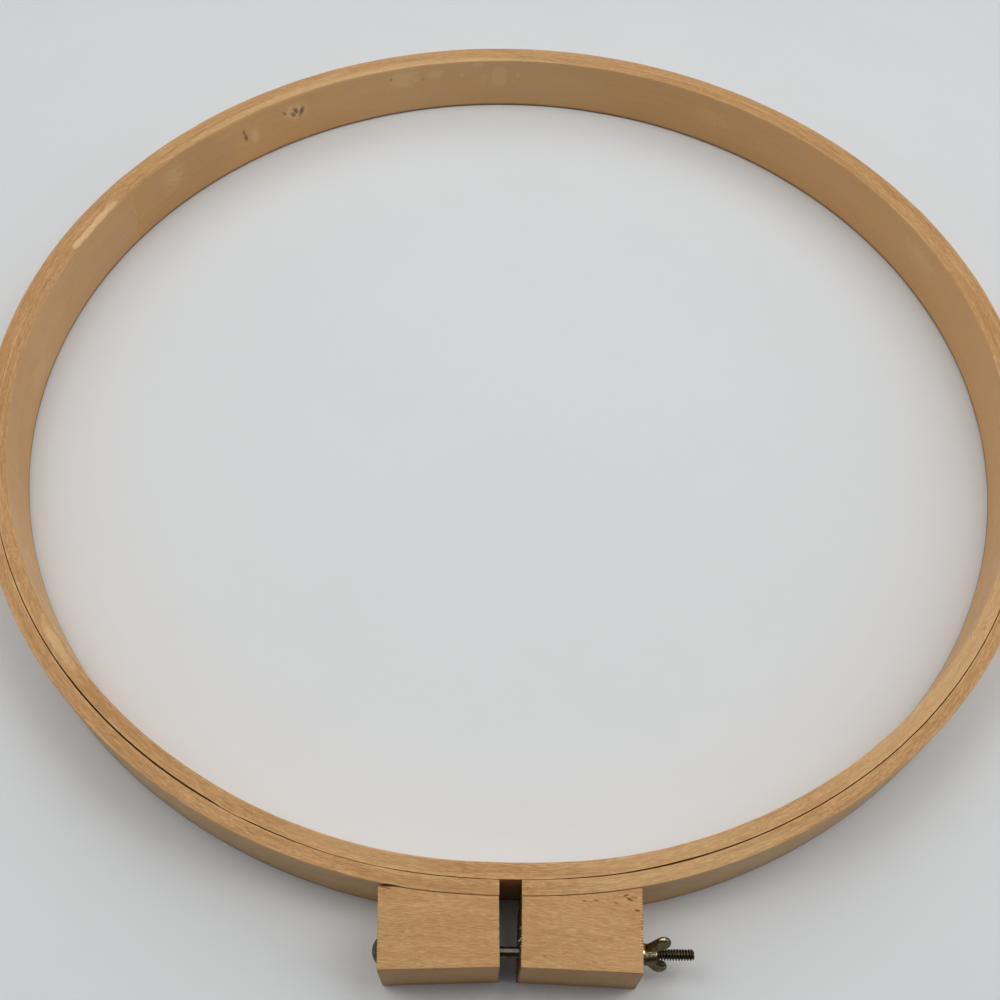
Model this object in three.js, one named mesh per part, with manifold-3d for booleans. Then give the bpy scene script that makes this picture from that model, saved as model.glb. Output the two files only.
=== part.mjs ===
// A large wooden clamp hoop for needlework, in millimetres, +Z up.
// Two bent beech strips lie one inside the other. The outer one is split at the front, where a bolt and a
// wing nut draw its two clamp blocks together. The hoop lies flat, with its clamp towards -Y.
import * as THREE from 'three';
import { mergeVertices } from 'three/addons/utils/BufferGeometryUtils.js';
import Module from 'manifold-3d';

const wasm = await Module();
wasm.setup();

// The two rings. A radius is measured from the rings' centre, away from the clamp.
const outerRadius = 300;
const outerThickness = 6.8;
const innerThickness = 7.1;
const ringFit = 0.5;
const ringHeight = 38.1;
const edgeEase = 0.8;
const ringSteps = 144;

// The clamp pulls the front of both rings in a little, which leaves them flatter there.
const frontDip = 1.4;
const dipSpread = 9 * (Math.PI / 180);

// The outer strip's ends stand this far apart at the front. At the back its halves meet at the flex line.
const gapWidth = 10;
const flexGap = 0.3;

// The clamp blocks. Their outer faces lean in towards the front and their gap faces close up there, and
// their front faces fall back towards the gap.
const blockWidth = 53;
const blockDepth = 29.6;
const blockTaper = 1.6;
const gapLean = 0.6;
const blockSlant = 1.9;
const blockEase = 0.5;
const blockArcSteps = 10;

// Pieces that touch on the real hoop keep this gap.
const touchGap = 0.3;

// The carriage bolt. Its setback is measured outwards from the outer ring's face.
const boltDiameter = 4.9;
const boltSetback = 18.4;
const headDiameter = 11.3;
const headHeight = 2.9;
const headRim = 0.5;
const neckLength = 3.2;
const boltProjection = 24.6;
const threadLength = 38.1;
const threadPitch = 1.27;
const threadDepth = 0.65;
const tipChamfer = 0.7;
const roundSides = 32;
const threadSides = 16;
const domeSteps = 7;
const spareTurns = 3;

// The clearance round the bolt in the blocks, and how far the gap opens when the nut is loosened.
const boltHoleClearance = 0.35;
const looseningTurns = 8;

// The wing nut. The reach of its wings is measured along the bolt and the span across it.
const nutClearance = 0.3;
const bossWall = 2;
const bossTopWall = 1.3;
const bossRim = 1.2;
const bossLength = 7.4;
const wingReach = 13.1;
const wingSpan = 24.9;
const wingLobeRadius = 3.45;
const wingThickness = 2.5;
const wingEase = 0.7;
const wingRootInset = 0.8;
const wingTilt = 68 * (Math.PI / 180);
const lobeSteps = 14;

// What follows from those sizes.
const outerInside = outerRadius - outerThickness;
const innerOutside = outerInside - ringFit;
const innerInside = innerOutside - innerThickness;
const boltRadius = boltDiameter / 2;
const boltY = -(outerRadius + boltSetback);
const boltZ = ringHeight / 2;
const openTravel = looseningTurns * threadPitch;
const flexAxisY = outerRadius - outerThickness / 2;
const blockOuterX = gapWidth / 2 + blockWidth;
const blockFrontX = blockOuterX - blockTaper;
const blockFrontY = -(outerRadius + blockDepth);
const faceLean = blockTaper / blockDepth;
const faceAtBoltX = blockFrontX + faceLean * (blockDepth - boltSetback);
const headSeatX = -(faceAtBoltX + faceLean * (headDiameter / 2) + touchGap);
const boreRadius = boltRadius + nutClearance;
const bossRadius = boreRadius + bossWall;
const nutSeatX = faceAtBoltX + faceLean * bossRadius + touchGap;
const tipX = faceAtBoltX + boltProjection;

// As the left half swings open, its block turns a little, so the bolt needs this much more room in it.
const swingRoom = (openTravel * blockOuterX) / (flexAxisY - boltY);

function finish(color, roughness, metalness) {
  return new THREE.MeshStandardMaterial({ color, roughness, metalness });
}

const varnishedBeech = () => finish('#c69a67', 0.5, 0);
const sandedBeech = () => finish('#bf9265', 0.7, 0);
const bronzedSteel = () => finish('#5d5340', 0.4, 1);
const bronzedBrass = () => finish('#6b6047', 0.38, 1);

// A closed geometry as a solid that can be joined and cut, and back again.
function toSolid(geometry) {
  const bare = geometry.clone();
  bare.deleteAttribute('normal');
  bare.deleteAttribute('uv');
  const merged = mergeVertices(bare);
  const vertProperties = new Float32Array(merged.attributes.position.array);
  const triVerts = new Uint32Array(merged.index.array);
  return new wasm.Manifold(new wasm.Mesh({ numProp: 3, vertProperties, triVerts }));
}

function toGeometry(solid) {
  const { vertProperties, triVerts } = solid.getMesh();
  const geometry = new THREE.BufferGeometry();
  geometry.setAttribute('position', new THREE.BufferAttribute(vertProperties, 3));
  geometry.setIndex(new THREE.BufferAttribute(triVerts, 1));
  geometry.computeVertexNormals();
  return geometry;
}

function piece(name, geometry, material) {
  const mesh = new THREE.Mesh(geometry, material);
  mesh.name = name;
  return mesh;
}

// A radius as the clamp leaves it. Angles are measured from the front, towards +X.
function pulledRadius(radius, angle) {
  return radius - frontDip * Math.exp(-((angle / dipSpread) ** 2));
}

function rimPoint(radius, angle) {
  const pulled = pulledRadius(radius, angle);
  return new THREE.Vector2(pulled * Math.sin(angle), -pulled * Math.cos(angle));
}

// The angle at which a rim passes a distance x to the side, near the front.
function angleAtX(radius, x) {
  const firstGuess = Math.asin(x / radius);
  return Math.asin(x / pulledRadius(radius, firstGuess));
}

function rimPoints(radius, from, to, steps) {
  return Array.from({ length: steps + 1 }, (_, i) => rimPoint(radius, from + ((to - from) * i) / steps));
}

// A plan outline raised to the rings' height, with its top and bottom edges eased.
function raised(shape, ease) {
  const geometry = new THREE.ExtrudeGeometry(shape, {
    depth: ringHeight - 2 * ease,
    bevelThickness: ease,
    bevelSize: ease,
    bevelOffset: -ease,
    bevelSegments: 1,
    steps: 1,
  });
  return geometry.translate(0, 0, ease);
}

function mirrored(points, side) {
  return points.map((point) => new THREE.Vector2(side * point.x, point.y));
}

// The inner ring is one strip, glued end to end.
function innerRing() {
  const last = Math.PI - (2 * Math.PI) / ringSteps;
  const shape = new THREE.Shape(rimPoints(innerOutside, -Math.PI, last, ringSteps - 1));
  shape.holes.push(new THREE.Path(rimPoints(innerInside, -Math.PI, last, ringSteps - 1)));
  return raised(shape, edgeEase);
}

// Half of the outer strip, from its end at the gap round to the flex line at the back.
function outerHalf(side) {
  const edge = (radius) => {
    const from = angleAtX(radius, gapWidth / 2);
    const to = Math.PI - Math.asin(flexGap / 2 / radius);
    return rimPoints(radius, from, to, ringSteps / 2);
  };
  const outline = [...edge(outerRadius), ...edge(outerInside).reverse()];
  return raised(new THREE.Shape(mirrored(outline, side)), edgeEase);
}

// A clamp block, hollowed at the back to sit on the strip, with its gap face starting flush with the
// strip's end.
function blockBlank(side) {
  const seat = outerRadius + touchGap;
  const from = angleAtX(seat, gapWidth / 2);
  const to = angleAtX(seat, blockOuterX);
  const outline = [
    ...rimPoints(seat, from, to, blockArcSteps),
    new THREE.Vector2(blockFrontX, blockFrontY),
    new THREE.Vector2(gapWidth / 2 - gapLean, blockFrontY + blockSlant),
  ];
  return toSolid(raised(new THREE.Shape(mirrored(outline, side)), blockEase));
}

// A bar along X on the bolt's line, as a cutter. It reaches further towards the front by room.
function boltCutter(radius, room) {
  const pastBlock = 2 * blockOuterX;
  const slot = new THREE.Shape();
  slot.absarc(room / 2, 0, radius, -Math.PI / 2, Math.PI / 2);
  slot.absarc(-room / 2, 0, radius, Math.PI / 2, 1.5 * Math.PI);
  const bar = new THREE.ExtrudeGeometry(slot, {
    depth: 2 * pastBlock,
    bevelEnabled: false,
    curveSegments: roundSides / 2,
  });
  bar.translate(0, 0, -pastBlock);
  bar.rotateX(Math.PI / 2);
  bar.rotateZ(Math.PI / 2);
  return toSolid(bar.translate(0, boltY - room / 2, boltZ));
}

// The left block's hole is a short slot, and opens into a pocket for the bolt's square neck.
function leftBlock() {
  const pocketEnd = headSeatX + neckLength + boltHoleClearance;
  const neckRoom = boltDiameter + 2 * boltHoleClearance;
  const pocket = new THREE.BoxGeometry(blockWidth, neckRoom + swingRoom, neckRoom);
  pocket.translate(pocketEnd - blockWidth / 2, boltY - swingRoom / 2, boltZ);
  const slotted = blockBlank(-1).subtract(boltCutter(boltRadius + boltHoleClearance, swingRoom));
  return toGeometry(slotted.subtract(toSolid(pocket)));
}

function rightBlock() {
  return toGeometry(blockBlank(1).subtract(boltCutter(boltRadius + boltHoleClearance, 0)));
}

function turned(points) {
  const profile = points.map(([radius, along]) => new THREE.Vector2(radius, along));
  return toSolid(new THREE.LatheGeometry(profile, roundSides));
}

// A right-handed sharp thread along +Y. Its crests and roots are rows of a grid that climbs as it turns.
function threadedRod(start, turns) {
  const rows = 2 * turns;
  const positions = [];
  for (let row = 0; row < rows; row += 1) {
    const radius = boltRadius - (row % 2) * threadDepth;
    for (let side = 0; side < threadSides; side += 1) {
      const turn = side / threadSides;
      const angle = 2 * Math.PI * turn;
      const along = start + (row / 2 + turn) * threadPitch;
      positions.push(radius * Math.sin(angle), along, radius * Math.cos(angle));
    }
  }
  const startCentre = rows * threadSides;
  positions.push(0, start + threadPitch / 2, 0);
  positions.push(0, start + (rows / 2) * threadPitch, 0);
  const at = (row, side) => (side < threadSides ? row * threadSides + side : (row + 2) * threadSides);
  const faces = [];
  for (let row = 0; row < rows - 1; row += 1) {
    for (let side = 0; side < threadSides; side += 1) {
      if (side === threadSides - 1 && row + 3 > rows - 1) continue;
      faces.push(at(row, side), at(row, side + 1), at(row + 1, side));
      faces.push(at(row + 1, side + 1), at(row + 1, side), at(row, side + 1));
    }
  }
  const top = rows - 1;
  const lastSide = threadSides - 1;
  const sides = Array.from({ length: threadSides }, (_, side) => side);
  const startEdge = [...sides.map((side) => at(0, side)), at(2, 0), at(1, 0)];
  const endEdge = [...sides.map((side) => at(top, side)), at(top - 1, lastSide), at(top - 2, lastSide)];
  startEdge.forEach((corner, i) => {
    faces.push(corner, startCentre, startEdge[(i + 1) % startEdge.length]);
  });
  endEdge.forEach((corner, i) => {
    faces.push(corner, endEdge[(i + 1) % endEdge.length], startCentre + 1);
  });
  const geometry = new THREE.BufferGeometry();
  geometry.setAttribute('position', new THREE.Float32BufferAttribute(positions, 3));
  geometry.setIndex(faces);
  return toSolid(geometry);
}

// The bolt lies along +Y here, with the gap's middle at 0.
function carriageBolt() {
  const headRadius = headDiameter / 2;
  const domeHeight = headHeight - headRim;
  const dome = Array.from({ length: domeSteps }, (_, i) => {
    const angle = (i / domeSteps) * (Math.PI / 2);
    return [headRadius * Math.sin(angle), headSeatX - headRim - domeHeight * Math.cos(angle)];
  });
  const head = turned([...dome, [headRadius, headSeatX - headRim], [headRadius, headSeatX], [0, headSeatX]]);
  const threadStart = tipX - threadLength;
  const plainEnd = threadStart + threadPitch;
  const shank = turned([
    [0, headSeatX - headRim],
    [boltRadius, headSeatX - headRim],
    [boltRadius, plainEnd],
    [0, plainEnd],
  ]);
  const neck = new THREE.BoxGeometry(boltDiameter, neckLength + headRim, boltDiameter);
  neck.translate(0, headSeatX + (neckLength - headRim) / 2, 0);
  const wide = boltRadius + threadDepth;
  const envelope = turned([
    [0, threadStart],
    [wide, threadStart],
    [wide, tipX - tipChamfer - threadDepth],
    [boltRadius - tipChamfer, tipX],
    [0, tipX],
  ]);
  const turns = Math.ceil(threadLength / threadPitch) + spareTurns;
  const thread = threadedRod(threadStart - threadPitch, turns).intersect(envelope);
  return toGeometry(head.add(toSolid(neck)).add(shank).add(thread));
}

// The side of a round lobe that a straight edge from a point just touches, as an angle on the lobe.
function tangentAngle(point, lobe, turn) {
  const across = point.clone().sub(lobe);
  return across.angle() + turn * Math.acos(wingLobeRadius / across.length());
}

// The nut stands along +Y here, on its seat at 0, with its wings out to +X and -X.
function wingNut() {
  const boss = turned([
    [boreRadius, 0],
    [bossRadius, 0],
    [bossRadius, bossRim],
    [boreRadius + bossTopWall, bossLength],
    [boreRadius, bossLength],
    [boreRadius, 0],
  ]);
  const lobe = new THREE.Vector2(wingSpan / 2 - wingLobeRadius, wingReach - wingLobeRadius);
  const rootX = boreRadius + wingRootInset;
  const low = new THREE.Vector2(rootX, wingRootInset);
  const high = new THREE.Vector2(rootX, bossLength - wingRootInset);
  const shape = new THREE.Shape();
  const arcStart = tangentAngle(low, lobe, 1);
  const arcEnd = tangentAngle(high, lobe, -1) + 2 * Math.PI;
  shape.moveTo(low.x, low.y);
  shape.lineTo(lobe.x + wingLobeRadius * Math.cos(arcStart), lobe.y + wingLobeRadius * Math.sin(arcStart));
  shape.absarc(lobe.x, lobe.y, wingLobeRadius, arcStart, arcEnd);
  shape.lineTo(high.x, high.y);
  const wing = new THREE.ExtrudeGeometry(shape, {
    depth: wingThickness - 2 * wingEase,
    bevelThickness: wingEase,
    bevelSize: wingEase,
    bevelOffset: -wingEase,
    bevelSegments: 2,
    curveSegments: lobeSteps,
  });
  wing.translate(0, 0, wingEase - wingThickness / 2);
  const otherWing = wing.clone().rotateY(Math.PI);
  return toGeometry(boss.add(toSolid(wing)).add(toSolid(otherWing)));
}

const hoop = new THREE.Group();
hoop.position.y = blockDepth / 2;

const outerRing = new THREE.Group();
outerRing.add(piece('outer_ring_left', outerHalf(-1), varnishedBeech()));
outerRing.add(piece('outer_ring_right', outerHalf(1), varnishedBeech()));
outerRing.add(piece('left_clamp_block', leftBlock(), sandedBeech()));
outerRing.add(piece('right_clamp_block', rightBlock(), sandedBeech()));

const boltLine = new THREE.Group();
boltLine.position.set(0, boltY, boltZ);
boltLine.rotation.z = -Math.PI / 2;
boltLine.add(piece('carriage_bolt', carriageBolt(), bronzedSteel()));

const nut = piece('wing_nut', wingNut(), bronzedBrass());
nut.position.y = nutSeatX;
nut.rotation.y = wingTilt;
boltLine.add(nut);

hoop.add(piece('inner_ring', innerRing(), varnishedBeech()));
hoop.add(outerRing);
hoop.add(boltLine);

const part = new THREE.Group();
part.add(hoop);

export default part;
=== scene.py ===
"""A wooden clamp hoop for needlework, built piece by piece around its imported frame."""

import math

import bpy
import numpy as np
from bpy.props import FloatProperty, FloatVectorProperty, IntProperty, PointerProperty
from mathutils import Matrix, Vector


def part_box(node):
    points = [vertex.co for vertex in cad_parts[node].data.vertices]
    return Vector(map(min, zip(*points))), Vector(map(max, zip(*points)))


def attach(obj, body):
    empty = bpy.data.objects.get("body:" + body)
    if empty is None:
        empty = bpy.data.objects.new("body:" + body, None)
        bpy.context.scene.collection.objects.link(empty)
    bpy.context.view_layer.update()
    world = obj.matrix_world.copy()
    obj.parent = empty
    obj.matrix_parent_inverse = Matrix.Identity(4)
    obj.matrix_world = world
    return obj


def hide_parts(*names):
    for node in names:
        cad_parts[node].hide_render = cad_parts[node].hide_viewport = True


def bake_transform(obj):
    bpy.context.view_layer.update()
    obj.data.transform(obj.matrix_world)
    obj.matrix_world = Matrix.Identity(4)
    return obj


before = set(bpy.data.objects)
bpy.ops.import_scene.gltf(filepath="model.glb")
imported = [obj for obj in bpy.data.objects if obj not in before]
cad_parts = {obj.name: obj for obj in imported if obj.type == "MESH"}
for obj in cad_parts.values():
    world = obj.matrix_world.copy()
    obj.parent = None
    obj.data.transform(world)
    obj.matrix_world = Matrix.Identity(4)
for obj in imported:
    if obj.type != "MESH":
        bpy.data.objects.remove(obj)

bl_info = {
    "name": "Clamp hoop",
    "version": (1, 0, 0),
    "blender": (4, 5, 0),
    "location": "View3D > Sidebar > Hoop",
    "description": "Builds a wooden clamp hoop for needlework, one piece at a time",
    "category": "Object",
}

MM = 0.001
TURN = 2 * math.pi
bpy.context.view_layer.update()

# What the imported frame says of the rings, the blocks and the bolt.
INNER_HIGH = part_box("inner_ring")[1]
OUTER_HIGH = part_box("outer_ring_right")[1]
BLOCK_LOW, BLOCK_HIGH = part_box("right_clamp_block")
BOLT_LOW, BOLT_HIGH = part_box("carriage_bolt")
NUT_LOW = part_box("wing_nut")[0]
CENTRE_Y = INNER_HIGH.y - INNER_HIGH.x
BOLT_Y = (BOLT_LOW.y + BOLT_HIGH.y) / 2
BOLT_Z = (BOLT_LOW.z + BOLT_HIGH.z) / 2


# Settings that a user would change.


def length_setting(name, description, default):
    return FloatProperty(name=name, description=description, default=default, unit="LENGTH",
                         precision=5)


def pair_setting(name, description, default):
    return FloatVectorProperty(name=name, description=description, default=default, size=2,
                               unit="LENGTH", precision=5)


def angle_setting(name, description, degrees):
    return FloatProperty(name=name, description=description, default=math.radians(degrees),
                         subtype="ANGLE")


def power_setting(name, description, default):
    return FloatProperty(name=name, description=description, default=default, unit="POWER")


def colour_setting(name, description, default):
    return FloatVectorProperty(name=name, description=description, default=default,
                               subtype="COLOR", size=3, min=0, max=1)


class HoopRingSizes(bpy.types.PropertyGroup):
    """Sizes of the two bent strips."""

    outer_radius: length_setting(
        "Outer radius", "From the centre to the outer strip's outer face", OUTER_HIGH.x)
    outer_thickness: length_setting("Outer thickness", "How thick the outer strip is", 6.8 * MM)
    inner_radius: length_setting(
        "Inner radius", "From the centre to the inner strip's inner face", 285.6 * MM)
    height: length_setting("Height", "How deep both strips are", INNER_HIGH.z)
    worn_edge: length_setting(
        "Worn edge", "Rounding of the edges that hands and cloth rub", 0.55 * MM)
    sharp_edge: length_setting(
        "Sharp edge", "Rounding of the edges where the strips meet", 0.14 * MM)
    front_dip: length_setting("Front dip", "How far the clamp pulls the front inwards", 1.4 * MM)
    dip_spread: angle_setting("Dip spread", "How far round the dip reaches", 9)
    stations: IntProperty(
        name="Stations", description="Steps round each strip", default=960, min=90)


class HoopClampSizes(bpy.types.PropertyGroup):
    """Sizes of the clamp blocks and of the gap between them."""

    gap: length_setting("Gap", "Between the ends of the outer strip", 10 * MM)
    glue_line: length_setting(
        "Glue line", "Between a block and the strip that it is glued to", 0.22 * MM)
    let_go: pair_setting(
        "Let go", "Width and length of the opened end of the left block's glue line",
        (1.15 * MM, 7.5 * MM))
    taper: length_setting(
        "Taper", "How far a block's outer face leans in towards the front", 1.6 * MM)
    gap_lean: length_setting(
        "Gap lean", "How far a block's gap face closes up towards the front", 0.6 * MM)
    slant: length_setting("Slant", "How far a block's front face falls back at the gap", 1.9 * MM)
    flare: pair_setting(
        "Flare", "How much wider the right block's foot is, at the gap and outside",
        (0.9 * MM, 1.0 * MM))
    edge: length_setting("Edge", "Rounding of a block's edges", 0.22 * MM)
    saw_pitch: length_setting("Saw pitch", "Spacing of the marks that the saw left", 1.15 * MM)
    saw_depth: length_setting("Saw depth", "Depth of the marks that the saw left", 0.13 * MM)
    hole: length_setting("Hole", "Radius of the bolt's hole", 2.8 * MM)


class HoopHardwareSizes(bpy.types.PropertyGroup):
    """Sizes of the carriage bolt and the wing nut."""

    bolt_radius: length_setting("Bolt radius", "Half the bolt's diameter", 2.45 * MM)
    head_radius: length_setting("Head radius", "Half the domed head's diameter", 5.62 * MM)
    head_height: length_setting(
        "Head height", "From the head's seat to the top of its dome", 2.9 * MM)
    neck_length: length_setting("Neck length", "Length of the square neck", 3.2 * MM)
    thread_length: length_setting("Thread length", "Length of the threaded end", 38.1 * MM)
    pitch: length_setting("Pitch", "From one crest of the thread to the next", 1.27 * MM)
    thread_depth: length_setting(
        "Thread depth", "From a crest of the thread to its root", 0.8 * MM)
    boss_radius: length_setting("Boss radius", "The wing nut's boss at its seat", 4.7 * MM)
    boss_top_radius: length_setting(
        "Boss top radius", "The wing nut's boss at its far end", 4.05 * MM)
    boss_length: length_setting("Boss length", "How long the wing nut's boss is", 7.4 * MM)
    wing_reach: length_setting(
        "Wing reach", "From the nut's seat to the tips of its wings", 13.05 * MM)
    wing_span: length_setting("Wing span", "Across both wings", 24.8 * MM)
    lobe_radius: length_setting("Lobe radius", "Rounding of a wing's tip", 3.45 * MM)
    wing_thickness: length_setting("Wing thickness", "Thickness of a wing at its tip", 2.7 * MM)
    wing_tilt: angle_setting("Wing tilt", "How far the nut is turned from level", 68)


class HoopColours(bpy.types.PropertyGroup):
    """Colours of the woods and metals, in linear light."""

    wood_light: colour_setting("Beech, light", "Pale bands of the strips", (0.745, 0.437, 0.18))
    wood_dark: colour_setting("Beech, dark", "Dark bands of the strips", (0.59, 0.31, 0.11))
    block_light: colour_setting("Blocks, light", "Pale bands of the blocks", (0.71, 0.417, 0.187))
    block_dark: colour_setting("Blocks, dark", "Dark bands of the blocks", (0.622, 0.345, 0.141))
    # Also the painted shade in the gap between the blocks and in the opened glue line.
    end_grain_and_shade: colour_setting("End grain", "Sawn ends, darkened by glue", (0.13, 0.056, 0.026))
    wood_fleck: colour_setting("Beech, flecks", "Short rays and pores", (0.26, 0.108, 0.032))
    wood_pink: colour_setting(
        "Beech, pink", "The pinker lengths of the strips", (0.64, 0.382, 0.185))
    # Also the painted light at the back of the inner wall.
    wood_scraped_and_lit: colour_setting(
        "Beech, scraped", "Where varnish has worn off", (0.86, 0.585, 0.3))
    pore: colour_setting("Pores", "The dark pores in the right block", (0.17, 0.055, 0.008))
    splinter: colour_setting("Splinters", "Bare wood, torn and dry", (0.84, 0.75, 0.62))
    # Also the painted shade on the left of the inner wall and on the outer wall's front left.
    stain_and_shade: colour_setting("Stain", "Old marks on the inner wall", (0.12, 0.06, 0.03))
    # Darker than the tops, partly as sawn wood and partly as painted shade.
    block_side_and_shade: colour_setting(
        "Blocks, sides", "The sawn sides of the blocks", (0.46, 0.262, 0.105))
    # A painted cool shade on the front wall of the outer strip.
    wood_olive_shade: colour_setting(
        "Beech, olive", "The duller front of the outer strip", (0.52, 0.34, 0.135))
    # Partly dirt, partly painted shade in the narrow gap between the strips.
    joint: colour_setting("Joint", "The strips' faces where they meet", (0.24, 0.075, 0.008))
    # Dark glue beside the blocks, and the painted contact shadow along the strips' foot.
    grime_and_shade: colour_setting("Grime", "Dirt in the joints and along the foot", (0.11, 0.05, 0.02))
    steel: colour_setting("Plated steel", "The bolt's plating", (0.12, 0.1, 0.054))
    # Also the painted highlight along the upper side of the bolt's shank.
    steel_worn_and_highlight: colour_setting("Worn steel", "Where the plating has rubbed off", (0.5, 0.46, 0.4))
    brass: colour_setting("Plated brass", "The wing nut's plating", (0.135, 0.108, 0.06))
    # Also the painted highlight along the top of the wing nut's boss.
    brass_worn_and_highlight: colour_setting("Worn brass", "Where the plating has rubbed off", (0.8, 0.7, 0.42))
    floor: colour_setting("Floor", "The surface that the hoop lies on", (0.79, 0.81, 0.82))


class HoopStage(bpy.types.PropertyGroup):
    """The floor, the lights and the camera."""

    floor_size: FloatProperty(
        name="Floor size", description="Width of the floor", default=24.0, unit="LENGTH")
    sky: FloatProperty(
        name="Sky", description="Strength of the light from all round", default=0.08)
    ceiling: power_setting("Ceiling", "Power of the wide lights above", 16.0)
    overhead: power_setting("Overhead", "Power of the small lights close above the hoop", 6.0)
    window: power_setting("Window", "Power of the wide light behind the hoop", 18.5)
    right_wall: power_setting("Right wall", "Power of the light from the right", 24.0)
    left_wall: power_setting("Left wall", "Power of the light from the left", 15.8)
    focal: FloatProperty(
        name="Focal length", description="Of the camera's lens", default=39.49,
        subtype="DISTANCE_CAMERA")
    pitch: angle_setting("Pitch", "How far below level the camera looks", 57.2)
    roll: angle_setting("Roll", "How far the camera leans", 2.11)
    yaw: angle_setting("Yaw", "How far the camera turns to the right", 1.2)
    eye: FloatVectorProperty(
        name="Eye", description="Where the camera is", default=(-0.01341, -0.39792, 0.53384),
        subtype="TRANSLATION", size=3)


# Meshes.


def ripple(angle, seed, slowest, fastest):
    """A smooth random wave round a full turn, mostly within -1 to 1."""
    chance = np.random.RandomState(seed)
    total = np.zeros_like(angle)
    waves = range(slowest, fastest + 1)
    for wave in waves:
        total += chance.uniform(0.4, 1) * np.cos(wave * angle + chance.uniform(0, TURN))
    return total / math.sqrt(len(waves))


def from_front(angle):
    """An angle folded to run from half a turn before the front to half a turn after it."""
    return (angle + math.pi) % TURN - math.pi


def pulled(radius, angle, rings):
    """A strip's radius as the clamp leaves it."""
    return radius - rings.front_dip * np.exp(-((from_front(angle) / rings.dip_spread) ** 2))


def on_ring(radius, angle, z):
    """Points round the hoop's centre. Angles run from the front towards the right."""
    x = radius * np.sin(angle)
    y = CENTRE_Y - radius * np.cos(angle)
    return np.stack(np.broadcast_arrays(x, y, z), axis=-1)


def angle_at(radius, x, rings):
    """Where a strip's face passes a distance x to the side of the front."""
    guess = math.asin(x / radius)
    return math.asin(x / pulled(radius, guess, rings))


def round_corner(steps):
    """Cosine and sine of the inner steps of a quarter turn."""
    turns = np.arange(1, steps) / steps * math.pi / 2
    return list(zip(np.cos(turns), np.sin(turns)))


def strip_section(thickness, height):
    """A strip's section, from the foot of its outer face round. Each row gives the depth below
    the outer face, its share of the corner's rounding, the height, its share, and the corner."""
    support = 0.12 * MM
    wall = np.linspace(0, 1, 13)[1:-1]
    top = np.linspace(0, 1, 6)[1:-1]
    rows = []

    def corner(depth, out, z, up, index, start_on_wall):
        for across, along in round_corner(4):
            into, climb = (across, along) if start_on_wall else (along, across)
            rows.append((depth, out * (into - 1), z, up * (climb - 1), index))

    rows.append((0, 0, 0, 1, 0))
    rows.append((0, 0, support, 1, 0))
    rows.extend((0, 0, height * share, 0, 4) for share in wall)
    rows.append((0, 0, height - support, -1, 1))
    rows.append((0, 0, height, -1, 1))
    corner(0, -1, height, 1, 1, True)
    rows.append((0, 1, height, 0, 1))
    rows.append((support, 1, height, 0, 1))
    rows.extend((thickness * share, 0, height, 0, 4) for share in top)
    rows.append((thickness - support, -1, height, 0, 2))
    rows.append((thickness, -1, height, 0, 2))
    corner(thickness, 1, height, 1, 2, False)
    rows.append((thickness, 0, height, -1, 2))
    rows.append((thickness, 0, height - support, -1, 2))
    rows.extend((thickness, 0, height * share, 0, 4) for share in wall[::-1])
    rows.append((thickness, 0, support, 1, 3))
    rows.append((thickness, 0, 0, 1, 3))
    corner(thickness, 1, 0, -1, 3, True)
    rows.append((thickness, -1, 0, 0, 3))
    rows.append((thickness - support, -1, 0, 0, 3))
    rows.extend((thickness * share, 0, 0, 0, 4) for share in top[::-1])
    rows.append((support, 1, 0, 0, 0))
    rows.append((0, 1, 0, 0, 0))
    corner(0, -1, 0, -1, 0, False)
    return np.array(rows)


def section_at(section, easing):
    """Depths and heights of a section at every station. easing gives each corner's rounding."""
    ease = np.concatenate([easing, np.zeros((len(easing), 1))], axis=1)
    share = ease[:, section[:, 4].astype(int)]
    depth = section[:, 0] + section[:, 1] * share
    height = section[:, 2] + section[:, 3] * share
    return depth, height


def bake_map(along, around, bands, room):
    """Places in the texture for faces with corners [face, corner], cut into bands that are
    stacked up to the height room."""
    band = np.minimum(np.floor(along.mean(axis=1) * bands), bands - 1)[:, None]
    margin = 0.012
    u = margin + (1 - 2 * margin) * (along * bands - band)
    v = room * (band + margin + (1 - 2 * margin) * around) / bands
    return np.stack([u, v], axis=-1)


def end_map(corners, index, room):
    """Places in the texture for an end face, in the strip above the height room."""
    first, apart, margin, scale = 0.05, 0.3, 0.005, 4
    depth = np.abs(corners[:, 1] - corners[:, 1].min())
    return np.stack([first + apart * index + corners[:, 2] * scale, room + margin + depth * scale],
                    axis=-1)


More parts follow.
